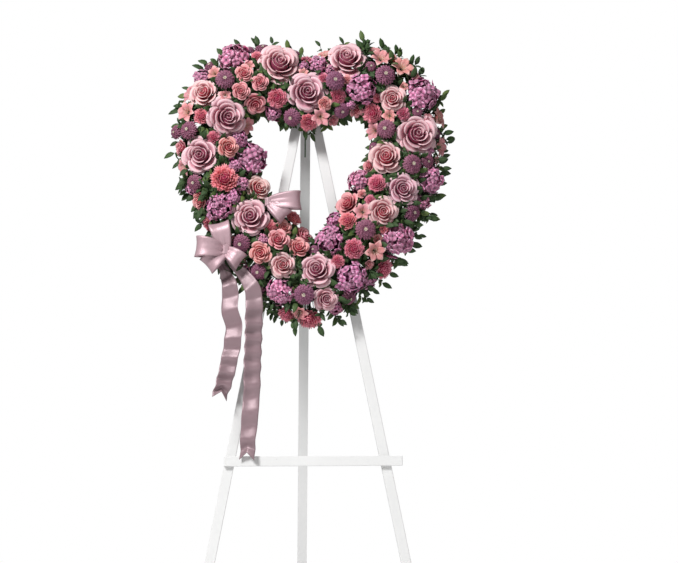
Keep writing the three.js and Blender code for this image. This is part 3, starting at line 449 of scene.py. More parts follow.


# The petals of each slot: the material's name, its colours at a petal's base, body and rim and deep in the heart,
# then the numbers that petal_finish asks for. The base colour also carries painted shade at a petal's foot, and the
# colour deep in the heart is painted shade between the inner petals
PETALS = {
    "pale_rose_petals": ("pale rose petals", (0.46, 0.05, 0.06), (0.72, 0.23, 0.27), (0.92, 0.62, 0.61),
                         (0.38, 0.010, 0.025), 0.84),
    "spray_rose_petals": ("spray rose petals", (0.40, 0.02, 0.035), (0.70, 0.13, 0.175), (0.90, 0.44, 0.45),
                          (0.38, 0.008, 0.018), 0.86),
    "carnation_petals": ("carnation petals", (0.34, 0.010, 0.045), (0.68, 0.07, 0.16), (0.90, 0.33, 0.40),
                         (0.30, 0.005, 0.035), 0.88, 24.0, 0.6),
    "mum_petals": ("mum petals", (0.07, 0.008, 0.03), (0.17, 0.032, 0.085), (0.38, 0.15, 0.24),
                   (0.03, 0.002, 0.015), 0.82, 10.0, 0.35),
    "hydrangea_florets": ("hydrangea florets", (0.10, 0.006, 0.055), (0.78, 0.13, 0.37), (0.97, 0.52, 0.73),
                          (0.10, 0.005, 0.05), 0.72, 14.0, 0.3, 0.62),
    "pink_lily_petals": ("lily petals", (0.62, 0.30, 0.12), (0.84, 0.25, 0.28), (0.93, 0.56, 0.54),
                         (0.40, 0.03, 0.05), 0.78, 30.0, 0.3),
    "mum_eye": ("mum eye", (0.34, 0.22, 0.14), (0.66, 0.52, 0.38), (0.86, 0.74, 0.62), (0.34, 0.22, 0.12),
                0.6, 8.0, 0.2),
}
FINISHES = {}


def finish_for(slot):
    """The material of a slot, made when it is first asked for."""
    if slot in FINISHES:
        return FINISHES[slot]
    if slot in PETALS:
        FINISHES[slot] = petal_finish(*PETALS[slot])
        return FINISHES[slot]
    colours = bpy.context.scene.wreath_colours
    # The rose heart colour is painted shade between the inner petals
    rose, rim, heart = (tuple(value) for value in (colours.rose, colours.rose_rim, colours.rose_heart_shade))
    maker, *values = {
        "rose_petals": (petal_finish, "rose petals", (0.24, 0.03, 0.07), rose, rim, heart, 0.86),
        "leaves": (leaf_finish, "leaves", tuple(colours.leaf)),
        "mauve_satin": (satin_finish, "mauve satin", tuple(colours.ribbon)),
        "painted_wood": (paint_finish, "painted wood", tuple(colours.paint)),
        "bracket_steel": (metal_finish, "plated steel", (0.62, 0.63, 0.65), 1.0, 0.32),
        "green_wire": (metal_finish, "lacquered wire", (0.03, 0.085, 0.03), 0.2, 0.35),
        "wet_foam": (foam_finish, "soaked foam", (0.045, 0.13, 0.05)),
        "green_tray": (tray_finish, "tray plastic", (0.02, 0.06, 0.028)),
    }[slot]
    FINISHES[slot] = maker(*values)
    return FINISHES[slot]


def unit(vectors):
    """The vectors brought to length one."""
    return vectors / np.maximum(np.linalg.norm(vectors, axis=-1, keepdims=True), 1e-9)


def to_world(points):
    """Wreath millimetres to frame metres: the wreath hangs down the easel, which leans back about its apex."""
    x, y, z = np.moveaxis(np.asarray(points, float), -1, 0)
    x, z = x + HEART_X, z - HEART_DROP
    turned = [x, y * math.cos(LEAN) + z * math.sin(LEAN), z * math.cos(LEAN) - y * math.sin(LEAN)]
    return MM * (np.stack(turned, -1) + APEX)


def heart_line(per_side):
    """Evenly spaced points (x, z) round the heart: three cubic curves down its right side, then their mirror."""
    t = np.linspace(0, 1, 400)[:, None]
    runs = [(1 - t) ** 3 * a + 3 * (1 - t) ** 2 * t * b + 3 * (1 - t) * t ** 2 * c + t ** 3 * d
            for a, b, c, d in HALF_HEART]
    fine = np.concatenate([runs[0], runs[1][1:], runs[2][1:]])
    reach = np.concatenate([[0], np.cumsum(np.linalg.norm(np.diff(fine, axis=0), axis=1))])
    even = np.linspace(0, reach[-1], per_side + 1)
    right = np.stack([np.interp(even, reach, fine[:, k]) for k in (0, 1)], -1)
    return np.concatenate([right, right[-2:0:-1] * [-1, 1]])


def outward_of(line):
    """The outward direction at each station, the mean of its two sides, lengthened at corners as a mitre."""
    before = unit(line - np.roll(line, 1, 0))
    after = unit(np.roll(line, -1, 0) - line)
    both = before + after
    normal = unit(np.stack([-both[:, 1], both[:, 0]], -1))
    cosine = -normal[:, 0] * before[:, 1] + normal[:, 1] * before[:, 0]
    return normal / np.maximum(cosine, 0.9)[:, None]


LINE = heart_line(150)
OUTWARD = outward_of(LINE)


def nearest_on_heart(flat):
    """For points (x, z): the index of the closest station, the unit direction away from the line, and the
    signed distance from it, positive outside the heart."""
    gap = np.linalg.norm(flat[:, None] - LINE, axis=-1)
    index = gap.argmin(1)
    offset = flat - LINE[index]
    outside = np.where((offset * OUTWARD[index]).sum(-1) >= 0, 1.0, -1.0)
    distance = np.linalg.norm(offset, axis=-1)
    direction = np.where((distance > 4)[:, None], unit(offset * outside[:, None]), unit(OUTWARD[index]))
    return index, direction, outside * distance


def seat(flat, ahead):
    """Seats heads on the oval shell round the foam: sine = sideways distance / 62, depth = -25 - (45 + ahead)
    times the cosine, and the head faces along the oval's normal."""
    _, direction, side = nearest_on_heart(flat)
    sine = np.clip(side / SHELL_SIDE, -0.98, 0.98)
    cosine = np.sqrt(1 - sine ** 2)
    lateral = direction * (sine / SHELL_SIDE)[:, None]
    axis = unit(np.stack([lateral[:, 0], -cosine / SHELL_FRONT, lateral[:, 1]], -1))
    depth = SHELL_MIDDLE - (SHELL_FRONT + ahead) * cosine
    return np.stack([flat[:, 0], depth, flat[:, 1]], -1), axis


def settle(flat, radius, ahead, weight):
    """Pushes crowded heads apart across the wreath's face, the heavier ones less, round the ribbon's room."""
    room = np.array(RIBBON_ROOM, float)
    flat = np.concatenate([flat, room[:, [0, 2]]])
    radius = np.concatenate([radius, room[:, 3]])
    weight = np.concatenate([weight, np.full(len(room), 1000.0)])
    ahead = np.concatenate([ahead, np.zeros(len(room))])
    for _ in range(PUSHES):
        centre, _ = seat(flat, ahead)
        centre[-len(room):] = room[:, :3]
        lack = CROWDING * (radius[:, None] + radius) - np.linalg.norm(centre[:, None] - centre, axis=-1)
        for i, j in zip(*np.nonzero(np.triu(lack > 0, 1))):
            step = flat[j] - flat[i]
            move = min(lack[i, j], 4) * 0.6 * step / max(math.hypot(*step), 1)
            share = weight[j] / (weight[i] + weight[j])
            flat[i] -= share * move
            flat[j] += (1 - share) * move
    return flat[:-len(room)]


def settled_heads():
    """Every head of FLOWERS after settling: its node, kind, centre, axis and radius."""
    rows = [(node, kind, x, z, d / 2) for kind, pieces in FLOWERS.items() for node, heads in pieces.items()
            for x, z, d in heads]
    flat = np.array([row[2:4] for row in rows], float)
    radius = np.array([row[4] for row in rows])
    ahead = np.array([KINDS[row[1]][0] for row in rows], float)
    weight = np.array([KINDS[row[1]][1] for row in rows], float)
    centre, axis = seat(settle(flat, radius, ahead, weight), ahead)
    return [dict(node=row[0], kind=row[1], centre=c, axis=a, radius=r)
            for row, c, a, r in zip(rows, centre, axis, radius)]


HEADS = settled_heads()


# Small heads whose places show in the photograph: kind, x, z and diameter
CLEFT_BLOOMS = [("carnation", -3, 116, 36), ("lily", 19, 126, 34), ("spray_rose", 27, 149, 28),
                ("lily", -57, 252, 34), ("lily", -20, -228, 30)]


def small_heads():
    """Small heads between the main ones: spots round the heart are tried from the front to the sides, with
    radii from 17 down to 9.5, and a spot is taken where the head stands clear of all others by SMALL_CROWDING."""
    draw = np.random.default_rng(21)
    kinds = ["hydrangea", "mum", "carnation", "spray_rose", "lily", "hydrangea"]
    centres = [head["centre"] for head in HEADS] + [np.array(spot[:3], float) for spot in RIBBON_ROOM]
    radii = [head["radius"] for head in HEADS] + [spot[3] for spot in RIBBON_ROOM]
    found = []

    def take(kind, place, facing, radius):
        found.append(dict(kind=kind, centre=place, axis=facing, radius=radius))
        centres.append(place)
        radii.append(radius)

    for kind, x, z, diameter in CLEFT_BLOOMS:
        place, facing = (part[0] for part in seat(np.array([[x, z]], float), np.array([4.0])))
        take(kind, place, facing, diameter / 2)
    for radius in (17, 14, 11.5, 9.5):
        for turn in np.radians([0, 24, -24, 46, -46, 66, -66, 80]):
            side = SHELL_SIDE * math.sin(turn)
            start = int(draw.integers(0, 5))
            stations = np.arange(start, len(LINE), 5)
            flat = LINE[stations] + unit(OUTWARD[stations]) * side
            centre, axis = seat(flat, np.full(len(flat), -5.0))
            for place, facing in zip(centre, axis):
                gap = np.linalg.norm(np.array(centres) - place, axis=1)
                if (gap > SMALL_CROWDING * (np.array(radii) + radius)).all():
                    take(kinds[int(draw.integers(0, len(kinds)))], place, facing, radius)
    return found


SMALL_HEADS = small_heads()


class Shape:
    """Collects closed surfaces and makes one mesh of them."""

    def __init__(self):
        self.points, self.faces, self.place, self.draw, self.slots = [], [], [], [], []
        self.count = 0

    def add(self, points, faces, place, draw, slot=0):
        """Adds points (N, 3) in wreath millimetres, a list of face arrays, and two attributes of (N, 3)."""
        self.points.append(points)
        self.place.append(place)
        self.draw.append(draw)
        for block in faces:
            self.faces.append(block + self.count)
            self.slots.append(np.full(len(block), slot))
        self.count += len(points)

    def make(self, name, slots, world=to_world):
        """The Blender object, with its materials in order, its points in frame metres and its attributes."""
        mesh = bpy.data.meshes.new(name)
        points = world(np.concatenate(self.points))
        corners = np.concatenate([block.ravel() for block in self.faces])
        sides = np.concatenate([np.full(len(block), block.shape[1]) for block in self.faces])
        mesh.vertices.add(len(points))
        mesh.vertices.foreach_set("co", points.astype(np.float32).ravel())
        mesh.loops.add(len(corners))
        mesh.loops.foreach_set("vertex_index", corners.astype(np.int32))
        mesh.polygons.add(len(sides))
        mesh.polygons.foreach_set("loop_start", (np.cumsum(sides) - sides).astype(np.int32))
        mesh.polygons.foreach_set("material_index", np.concatenate(self.slots).astype(np.int32))
        mesh.polygons.foreach_set("use_smooth", np.full(len(sides), True))
        mesh.update(calc_edges=True)
        for label, values in (("place", self.place), ("draw", self.draw)):
            attribute = mesh.attributes.new(label, "FLOAT_VECTOR", "POINT")
            attribute.data.foreach_set("vector", np.concatenate(values).astype(np.float32).ravel())
        mesh.validate()
        for slot in slots:
            mesh.materials.append(finish_for(slot))
        return linked(name, mesh)


def linked(name, data):
    """A new object in the scene that shows this data."""
    made = bpy.data.objects.new(name, data)
    bpy.context.scene.collection.objects.link(made)
    return made


def enter(made, slot, node=None, body="stand_front"):
    """Tells the frame which body a piece rides on and hides the CAD node that it stands for; the slot is not used.
    """
    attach(made, body)
    if node:
        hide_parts(node)


def draws_for(name):
    """Random numbers that are always the same for a piece of this name."""
    return np.random.default_rng([ord(letter) for letter in name])


def faces_out(mesh, merged=False):
    """Turns a mesh's faces outward; if asked, its triangles are first merged back to flat faces."""
    shell = bmesh.new()
    shell.from_mesh(mesh)
    if merged:
        bmesh.ops.remove_doubles(shell, verts=shell.verts, dist=1e-6)
        bmesh.ops.dissolve_limit(shell, angle_limit=0.01, verts=shell.verts, edges=shell.edges)
    bmesh.ops.recalc_face_normals(shell, faces=shell.faces)
    shell.to_mesh(mesh)
    shell.free()


def sheet_faces(rows, columns):
    """Quads of a closed thin sheet: its face, its back, and a rim joining them, for rows x columns points."""
    index = np.arange(rows * columns).reshape(rows, columns)
    under = index + rows * columns
    face = np.stack([index[:-1, :-1], index[:-1, 1:], index[1:, 1:], index[1:, :-1]], -1).reshape(-1, 4)
    back = np.stack([under[:-1, :-1], under[1:, :-1], under[1:, 1:], under[:-1, 1:]], -1).reshape(-1, 4)

    def rim(top, low):
        return np.stack([top[1:], top[:-1], low[:-1], low[1:]], -1)

    edges = [rim(index[0], under[0]), rim(index[-1][::-1], under[-1][::-1]),
             rim(index[::-1, 0], under[::-1, 0]), rim(index[:, -1], under[:, -1])]
    return np.concatenate([face, back, *edges])


def add_sheets(shape, grid, thickness, tier, petal, head=0.5, slot=0, taper=True):
    """Adds P thin sheets given as a grid (P, rows, columns, 3); u runs along the columns and v along the rows.

    Each point is moved half the thickness along the surface normal, both ways, and thinner at the rims.
    """
    count, rows, columns, _ = grid.shape
    across = np.gradient(grid, axis=2)
    along = np.gradient(grid, axis=1)
    normal = unit(np.cross(across, along))
    u, v = np.meshgrid(np.linspace(-1, 1, columns), np.linspace(0, 1, rows))
    thin = 0.5 * thickness * (1 - 0.5 * v ** 4 if taper else 1 + 0 * v)
    shift = normal * thin[None, :, :, None]
    points = np.stack([grid + shift, grid - shift], 1).reshape(-1, 3)
    faces = sheet_faces(rows, columns)
    step = 2 * rows * columns
    every = (faces[None] + (np.arange(count) * step)[:, None, None]).reshape(-1, 4)
    under = np.array([0.0, 1.0])[None, :, None, None]

    def by_sheet(value):
        return np.broadcast_to(np.asarray(value, float), (count,))[:, None, None, None]

    def joined(*values):
        return np.stack([np.broadcast_to(each, (count, 2, rows, columns)) for each in values], -1).reshape(-1, 3)

    shape.add(points, [every], joined(u, v, by_sheet(tier)), joined(by_sheet(petal), by_sheet(head), under), slot)


def add_tubes(shape, paths, radii, sides, slot=0, tone=0.3, reach=1.0):
    """Adds P round tubes along paths (P, N, 3) with radii (P, N): a ring of points stands square to the path at
    each of its points, and a flat end closes each end. The tone and the reach along v go to the finish."""
    count, rings, _ = paths.shape
    tangent = unit(np.gradient(paths, axis=1))
    helper = np.where(np.abs(tangent[..., 1:2]) > 0.9, [[1.0, 0, 0]], [[0, 1.0, 0]])
    first = unit(np.cross(helper, tangent))
    second = np.cross(tangent, first)
    angle = 2 * np.pi * np.arange(sides) / sides
    ring = first[:, :, None] * np.cos(angle)[:, None] + second[:, :, None] * np.sin(angle)[:, None]
    points = paths[:, :, None] + ring * radii[:, :, None, None]
    index = np.arange(rings * sides).reshape(rings, sides)
    turned = np.roll(index, -1, 1)
    wall = np.stack([index[:-1], turned[:-1], turned[1:], index[1:]], -1).reshape(-1, 4)
    steps = np.arange(count) * rings * sides
    walls = (wall[None] + steps[:, None, None]).reshape(-1, 4)
    caps = np.concatenate([index[0][::-1][None] + steps[:, None], index[-1][None] + steps[:, None]])
    flat = points.reshape(-1, 3)
    along = np.broadcast_to(np.linspace(0, reach, rings)[None, :, None], points.shape[:3]).ravel()
    zero = np.zeros_like(along)
    shape.add(flat, [walls, caps], np.stack([zero + 0.5, along, zero], -1),
              np.stack([zero + tone, zero + 0.3, zero], -1), slot)


def cup_petals(turns, half, base, rim, low, high, belly, flare, rows, columns, draw, ruffle=0.0, saw=0.0):
    """Petals wrapped round a cup, in shares of the head's radius.

    With w = v (1 - 0.22 |u|^2.2): radius = base + (rim - base) w^belly, height = low + (high - low) w^1.25,
    angle = turn + half u (0.55 + 0.45 w). The last quarter rolls out by flare, more at the corners, and each
    petal's one side lies outside the next one's. A ruffle adds a wave along the rim, and a saw cuts teeth in it.
    """
    u = np.linspace(-1, 1, columns)[None, None, :]
    v = np.linspace(0, 1, rows)[None, :, None]
    turns = turns[:, None, None]
    vary = draw.uniform(-1, 1, (len(turns), 1, 1))
    other = draw.uniform(-1, 1, (len(turns), 1, 1))
    teeth = saw * (np.arange(columns) % 2)[None, None, :] * v ** 3
    w = v * (1 - 0.22 * np.abs(u) ** 2.2 - teeth) * (1 + 0.05 * vary)
    radius = base + (rim - base) * np.clip(w, 0, 2) ** belly
    height = low + (high - low) * np.clip(w, 0, 2) ** 1.25
    roll = np.clip((w - 0.74) / 0.26, 0, 1.2) ** 2
    radius = radius + flare * roll * (0.7 + 0.9 * u ** 2)
    height = height - 0.55 * flare * roll * (0.8 + 1.2 * u ** 2)
    radius = radius * (1 + 0.09 * u * (0.3 + w) + 0.03 * other)
    wave = np.sin(u * 7.5 + 3 * vary) + 0.6 * np.sin(u * 13 + 5 * other)
    height = height + ruffle * wave * v ** 2
    radius = radius + 0.5 * ruffle * np.cos(u * 9 + 4 * other) * v ** 2
    angle = turns + half * u * (0.55 + 0.45 * w) + 0.04 * other
    return np.stack([radius * np.cos(angle), radius * np.sin(angle), height + 0 * angle], -1)


def strap_petals(turns, start, end, low, high, arch, width, widest, cup, rows, columns, draw=None, blunt=1.0):
    """Petals that reach out straight, in shares of the head's radius.

    Along v: reach = start + (end - start) v, height = low + (high - low) v + arch sin(pi v). Across u the half
    width is width sin(pi v^widest)^blunt, never under a tenth of width, and the edges rise by cup u^2.
    """
    u = np.linspace(-1, 1, columns)[None, None, :]
    v = np.linspace(0, 1, rows)[None, :, None]
    turns = np.asarray(turns, float)[:, None, None]
    vary = draw.uniform(-1, 1, turns.shape) if draw is not None else 0 * turns
    reach = start + (end - start) * v * (1 + 0.05 * vary)
    height = low + (high - low) * v + arch * np.sin(np.pi * v) + 0.03 * vary * v
    half = width * np.maximum(np.sin(np.pi * np.clip(v, 0, 1) ** widest) ** blunt, 0.1)
    side = u * half
    height = height + cup * u ** 2 * np.sin(np.pi * v * 0.9)
    cosine, sine = np.cos(turns), np.sin(turns)
    return np.stack([reach * cosine - side * sine, reach * sine + side * cosine, height + 0 * side], -1)


def spaced_turns(count, phase, draw, jitter=0.06):
    """Turns spaced evenly round a head from the phase on, each off by up to the jitter."""
    return phase + 2 * np.pi * np.arange(count) / count + draw.uniform(-jitter, jitter, count)


# Tiers of petals from the outside in: count, half angle, radius at base and rim, lowest and highest point, belly
# and flare, as cup_petals asks for them
ROSE_TIERS = [
    (5, 0.80, 0.16, 0.97, -0.50, -0.16, 0.78, 0.10),
    (5, 0.78, 0.15, 0.79, -0.46, 0.08, 0.62, 0.12),
    (4, 0.94, 0.14, 0.57, -0.42, 0.27, 0.46, 0.10),
    (3, 1.22, 0.12, 0.37, -0.34, 0.38, 0.36, 0.07),
    (3, 1.28, 0.08, 0.22, -0.26, 0.42, 0.30, 0.035),
    (2, 1.85, 0.04, 0.09, -0.22, 0.42, 0.26, 0.01),
]
SPRAY_TIERS = [
    (5, 0.76, 0.18, 0.88, -0.50, 0.02, 0.72, 0.12),
    (5, 0.76, 0.16, 0.66, -0.46, 0.22, 0.56, 0.09),
    (4, 0.92, 0.13, 0.46, -0.40, 0.33, 0.45, 0.07),
    (3, 1.20, 0.09, 0.27, -0.30, 0.38, 0.38, 0.05),
    (2, 1.75, 0.05, 0.12, -0.22, 0.38, 0.30, 0.02),
]
CARNATION_TIERS = [
    (9, 0.46, 0.14, 0.92, -0.52, -0.04, 0.85, 0.05),
    (8, 0.50, 0.13, 0.80, -0.48, 0.12, 0.72, 0.05),
    (8, 0.50, 0.12, 0.64, -0.44, 0.25, 0.60, 0.05),
    (7, 0.58, 0.10, 0.46, -0.40, 0.34, 0.52, 0.04),
    (5, 0.75, 0.08, 0.28, -0.34, 0.40, 0.45, 0.03),
    (3, 1.00, 0.05, 0.13, -0.28, 0.42, 0.40, 0.02),
]


def tiered_bloom(tiers, rows, columns, draw, ruffle=0.0, saw=0.0):
    """A bloom of nested tiers of cupped petals, each tier turned half a petal from the last."""
    phase = draw.uniform(0, 6.28)
    for k, (count, half, base, rim, low, high, belly, flare) in enumerate(tiers):
        turns = spaced_turns(count, phase + k * math.pi / count + 0.5 * k, draw)
        grid = cup_petals(turns, half, base, rim, low, high, belly, flare, rows, columns, draw, ruffle, saw)
        yield grid, k / (len(tiers) - 1), 0


def mum_bloom(draw):
    """Rings of short incurved straps round a domed eye of tiny florets."""
    rings = [(22, 0.28, 0.95, -0.34, -0.22, 0.20), (21, 0.27, 0.90, -0.24, 0.00, 0.20),
             (19, 0.24, 0.78, -0.12, 0.17, 0.18), (16, 0.18, 0.62, -0.02, 0.28, 0.15),
             (12, 0.13, 0.44, 0.06, 0.34, 0.11), (7, 0.08, 0.27, 0.10, 0.36, 0.06)]
    for k, (count, start, end, low, high, arch) in enumerate(rings):
        turns = spaced_turns(count, k * 0.4 + draw.uniform(0, 1), draw, 0.08)
        yield strap_petals(turns, start, end, low, high, arch, 0.15, 1.1, 0.05, 4, 3, draw, 0.4), k / 6, 0
    for k, (count, radius, height) in enumerate([(7, 0.11, 0.34), (3, 0.05, 0.36)]):
        turns = spaced_turns(count, k * 0.3, draw)
        yield strap_petals(turns, radius - 0.05, radius + 0.06, height - 0.05, height + 0.06, 0.03, 0.05, 0.8,
                           0.02, 3, 3, draw, 0.6), 0.2, 1


def dome_directions(count, widest, draw):
    """Directions spread evenly over a dome by the golden angle, from the top down to the widest polar angle."""
    k = np.arange(count) + 0.5
    polar = np.arccos(1 - (1 - math.cos(widest)) * k / count)
    turn = k * math.pi * (3 - math.sqrt(5)) + draw.uniform(-0.12, 0.12, count)
    return np.stack([np.sin(polar) * np.cos(turn), np.sin(polar) * np.sin(turn), np.cos(polar)], -1)


def frames_along(axis, spin):
    """For unit axes (P, 3) and turns (P): frames (P, 3, 3) whose rows are two square directions and the axis."""
    helper = np.where(np.abs(axis[:, 2:3]) > 0.9, [[1.0, 0, 0]], [[0, 0, 1.0]])
    first = unit(np.cross(helper, axis))
    second = np.cross(axis, first)
    cosine, sine = np.cos(spin)[:, None], np.sin(spin)[:, None]
    return np.stack([first * cosine + second * sine, second * cosine - first * sine, axis], 1)


def hydrangea_bloom(draw, count=46):
    """A mophead: four-petalled florets standing all over a dome, 0.52 to 0.90 of the radius out from a point 0.12
    below the middle, each leaning and turned its own way."""
    away = dome_directions(count, math.radians(118), draw)
    frames = frames_along(unit(away + draw.uniform(-0.5, 0.5, away.shape)), draw.uniform(0, 3.14, count))
    petals = strap_petals(np.arange(4) * math.pi / 2, 0.02, 0.27, 0.0, 0.07, 0.02, 0.15, 0.9, -0.03, 4, 3,
                          blunt=0.5)
    size = draw.uniform(0.8, 1.15, (count, 1, 1, 1, 1)) * math.sqrt(46 / count)
    spread = np.einsum("prcx,fxy->fprcy", petals, frames) * size
    lift = 0.76 + draw.uniform(-0.24, 0.14, (count, 1))
    grid = spread + (away * lift)[:, None, None, None]
    grid[..., 2] -= 0.12
    yield grid.reshape(-1, 4, 3, 3), 0.1, 0


def lily_bloom(draw):
    """Six pointed petals in two whorls that arch back, with thin stamens in the throat."""
    phase = draw.uniform(0, 6.28)
    for k in range(2):
        turns = spaced_turns(3, phase + k * math.pi / 3, draw)
        petals = strap_petals(turns, 0.06, 1.12 - 0.1 * k, -0.42, 0.02 + 0.1 * k, 0.26, 0.40 - 0.06 * k, 0.72, 0.06,
                              8, 5, draw, 0.8)
        yield petals, 0.1 + 0.3 * k, 0
    turns = spaced_turns(6, phase, draw)
    yield strap_petals(turns, 0.03, 0.30, -0.35, 0.26, 0.05, 0.02, 0.3, 0.0, 4, 3, draw, 0.4), 0.2, 1


BLOOMS = {
    "rose": lambda draw: tiered_bloom(ROSE_TIERS, 7, 9, draw),
    "spray_rose": lambda draw: tiered_bloom(SPRAY_TIERS, 6, 7, draw),
    "carnation": lambda draw: tiered_bloom(CARNATION_TIERS, 4, 13, draw, 0.05, 0.13),
    "mum": mum_bloom,
    "hydrangea": hydrangea_bloom,
    "lily": lily_bloom,
}


def stem_path(head, joint):
    """From inside the bloom down to the foam: the calyx behind the bloom, then a straight stem."""
    flat = head["centre"][[0, 2]][None]
    index, direction, side = nearest_on_heart(flat)
    inside = LINE[index[0]] + direction[0] * np.clip(0.35 * side[0], -13, 13)
    foot = np.array([inside[0], STEM_FOOT, inside[1]])
    back = [head["centre"] - head["axis"] * head["radius"] * share for share in (joint - 0.22, joint, joint + 0.16)]
    return np.array([*back, 0.6 * back[2] + 0.4 * foot, foot])


def build_flowers(name, heads, slot, node=None):
    """One object of all the given heads with their calyxes and stems, coloured by the slot's finish."""
    draw = draws_for(name)
    shape = Shape()
    thickness = bpy.context.scene.wreath_sizes.petal_thickness / MM
    kind = heads[0]["kind"]
    _, _, joint, size, back, (_, *extra) = KINDS[kind]
    lean = 0.9 if kind == "rose" else 0.45
    paths, radii = [], []
    for head in heads:
        tilt = unit(head["axis"] + [0, -lean, 0] + draw.uniform(-0.14, 0.14, 3))
        turned = frames_along(tilt[None], draw.uniform(0, 6.28, 1))[0]
        radius = head["radius"]
        tone = draw.uniform(0, 1)
        count = {"count": 22} if kind == "hydrangea" and radius <= 20 else {}
        for grid, tier, part in BLOOMS[kind](draw, **count):
            placed = head["centre"] + radius * (grid @ turned)
            shades = draw.uniform(0, 1, len(grid))
            if kind == "hydrangea":
                shades = np.clip(np.repeat(shades[::4], 4) + 0.25 * (shades - 0.5), 0, 1)
            add_sheets(shape, placed, thickness, tier, shades, tone, part)
        paths.append(stem_path(head, joint))
        radii.append([0.03 * radius, 0.21 * radius, 0.10 * radius, 1.9, 1.9])
        # The solid ball takes the petal finish at the petals' foot with tone 0, so it is drawn in their darkest
        # painted shade and fills the gaps between them
        if size:
            reach = np.linspace(-0.98, 0.98, 9)
            facing = head["axis"] if kind == "hydrangea" else tilt
            core = head["centre"] + facing * (radius * (size * reach[:, None] - back))
            add_tubes(shape, core[None], (size * radius * np.sqrt(1 - reach ** 2))[None], 12, 0, 0.0, 0.12)
    add_tubes(shape, np.array(paths), np.array(radii), 7, 1 + len(extra))
    enter(shape.make(name, [slot, *extra, "leaves"]), slot, node)


def build_kind(kind):
    """Builds every piece of one kind of flower, and the small ones between them."""
    slot = KINDS[kind][-1][0]
    for node in FLOWERS[kind]:
        chosen = "pale_rose_petals" if node in PALE_ROSES else slot
        build_flowers(node + "_bloom", [head for head in HEADS if head["node"] == node], chosen, node)
    small = [head for head in SMALL_HEADS if head["kind"] == kind]
    if small:
        build_flowers("small_" + kind + "s", small, slot)


def add_leaves(shape, root, along, up, length, width, sprig, draw):
    """Leaves: point = root + along L v - across u H + up (0.35 |u| H - bend L v^2), with the half width H =
    W / 2 sin(pi v^0.85)^0.65, never under 0.08 of W / 2, and a bend drawn from 0.05 to 0.35."""
    count = len(root)
    across = unit(np.cross(along, up))
    lift = unit(np.cross(across, along))
    u = np.linspace(-1, 1, 3)[None, None, :, None]
    v = np.linspace(0, 1, 5)[None, :, None, None]
    half = 0.5 * width[:, None, None, None] * np.maximum(np.sin(np.pi * v ** 0.85) ** 0.65, 0.08)
    size = length[:, None, None, None]
    bend = draw.uniform(0.05, 0.35, (count, 1, 1, 1))
    grid = (root[:, None, None] + along[:, None, None] * size * v - across[:, None, None] * u * half
            + lift[:, None, None] * (0.35 * np.abs(u) * half - bend * size * v ** 2))
    add_sheets(shape, grid, LEAF_THICKNESS, 0.0, draw.uniform(0, 1, count), sprig, 0, False)


def clear_of_heads(points):
    """True where none of the points (N, K, 3) lies inside a bloom: within 0.84 of its radius sideways, and from
    0.4 of it behind its middle to 1.2 of it ahead."""
    heads = HEADS + SMALL_HEADS
    centre = np.array([head["centre"] for head in heads])
    axis = np.array([head["axis"] for head in heads])
    radius = np.array([head["radius"] for head in heads])
    gap = points[:, :, None] - centre
    ahead = (gap * axis).sum(-1)
    aside = np.linalg.norm(gap - ahead[..., None] * axis, axis=-1)
    inside = (aside < 0.84 * radius) & (ahead > -0.4 * radius) & (ahead < 1.2 * radius)
    return ~inside.any((1, 2))


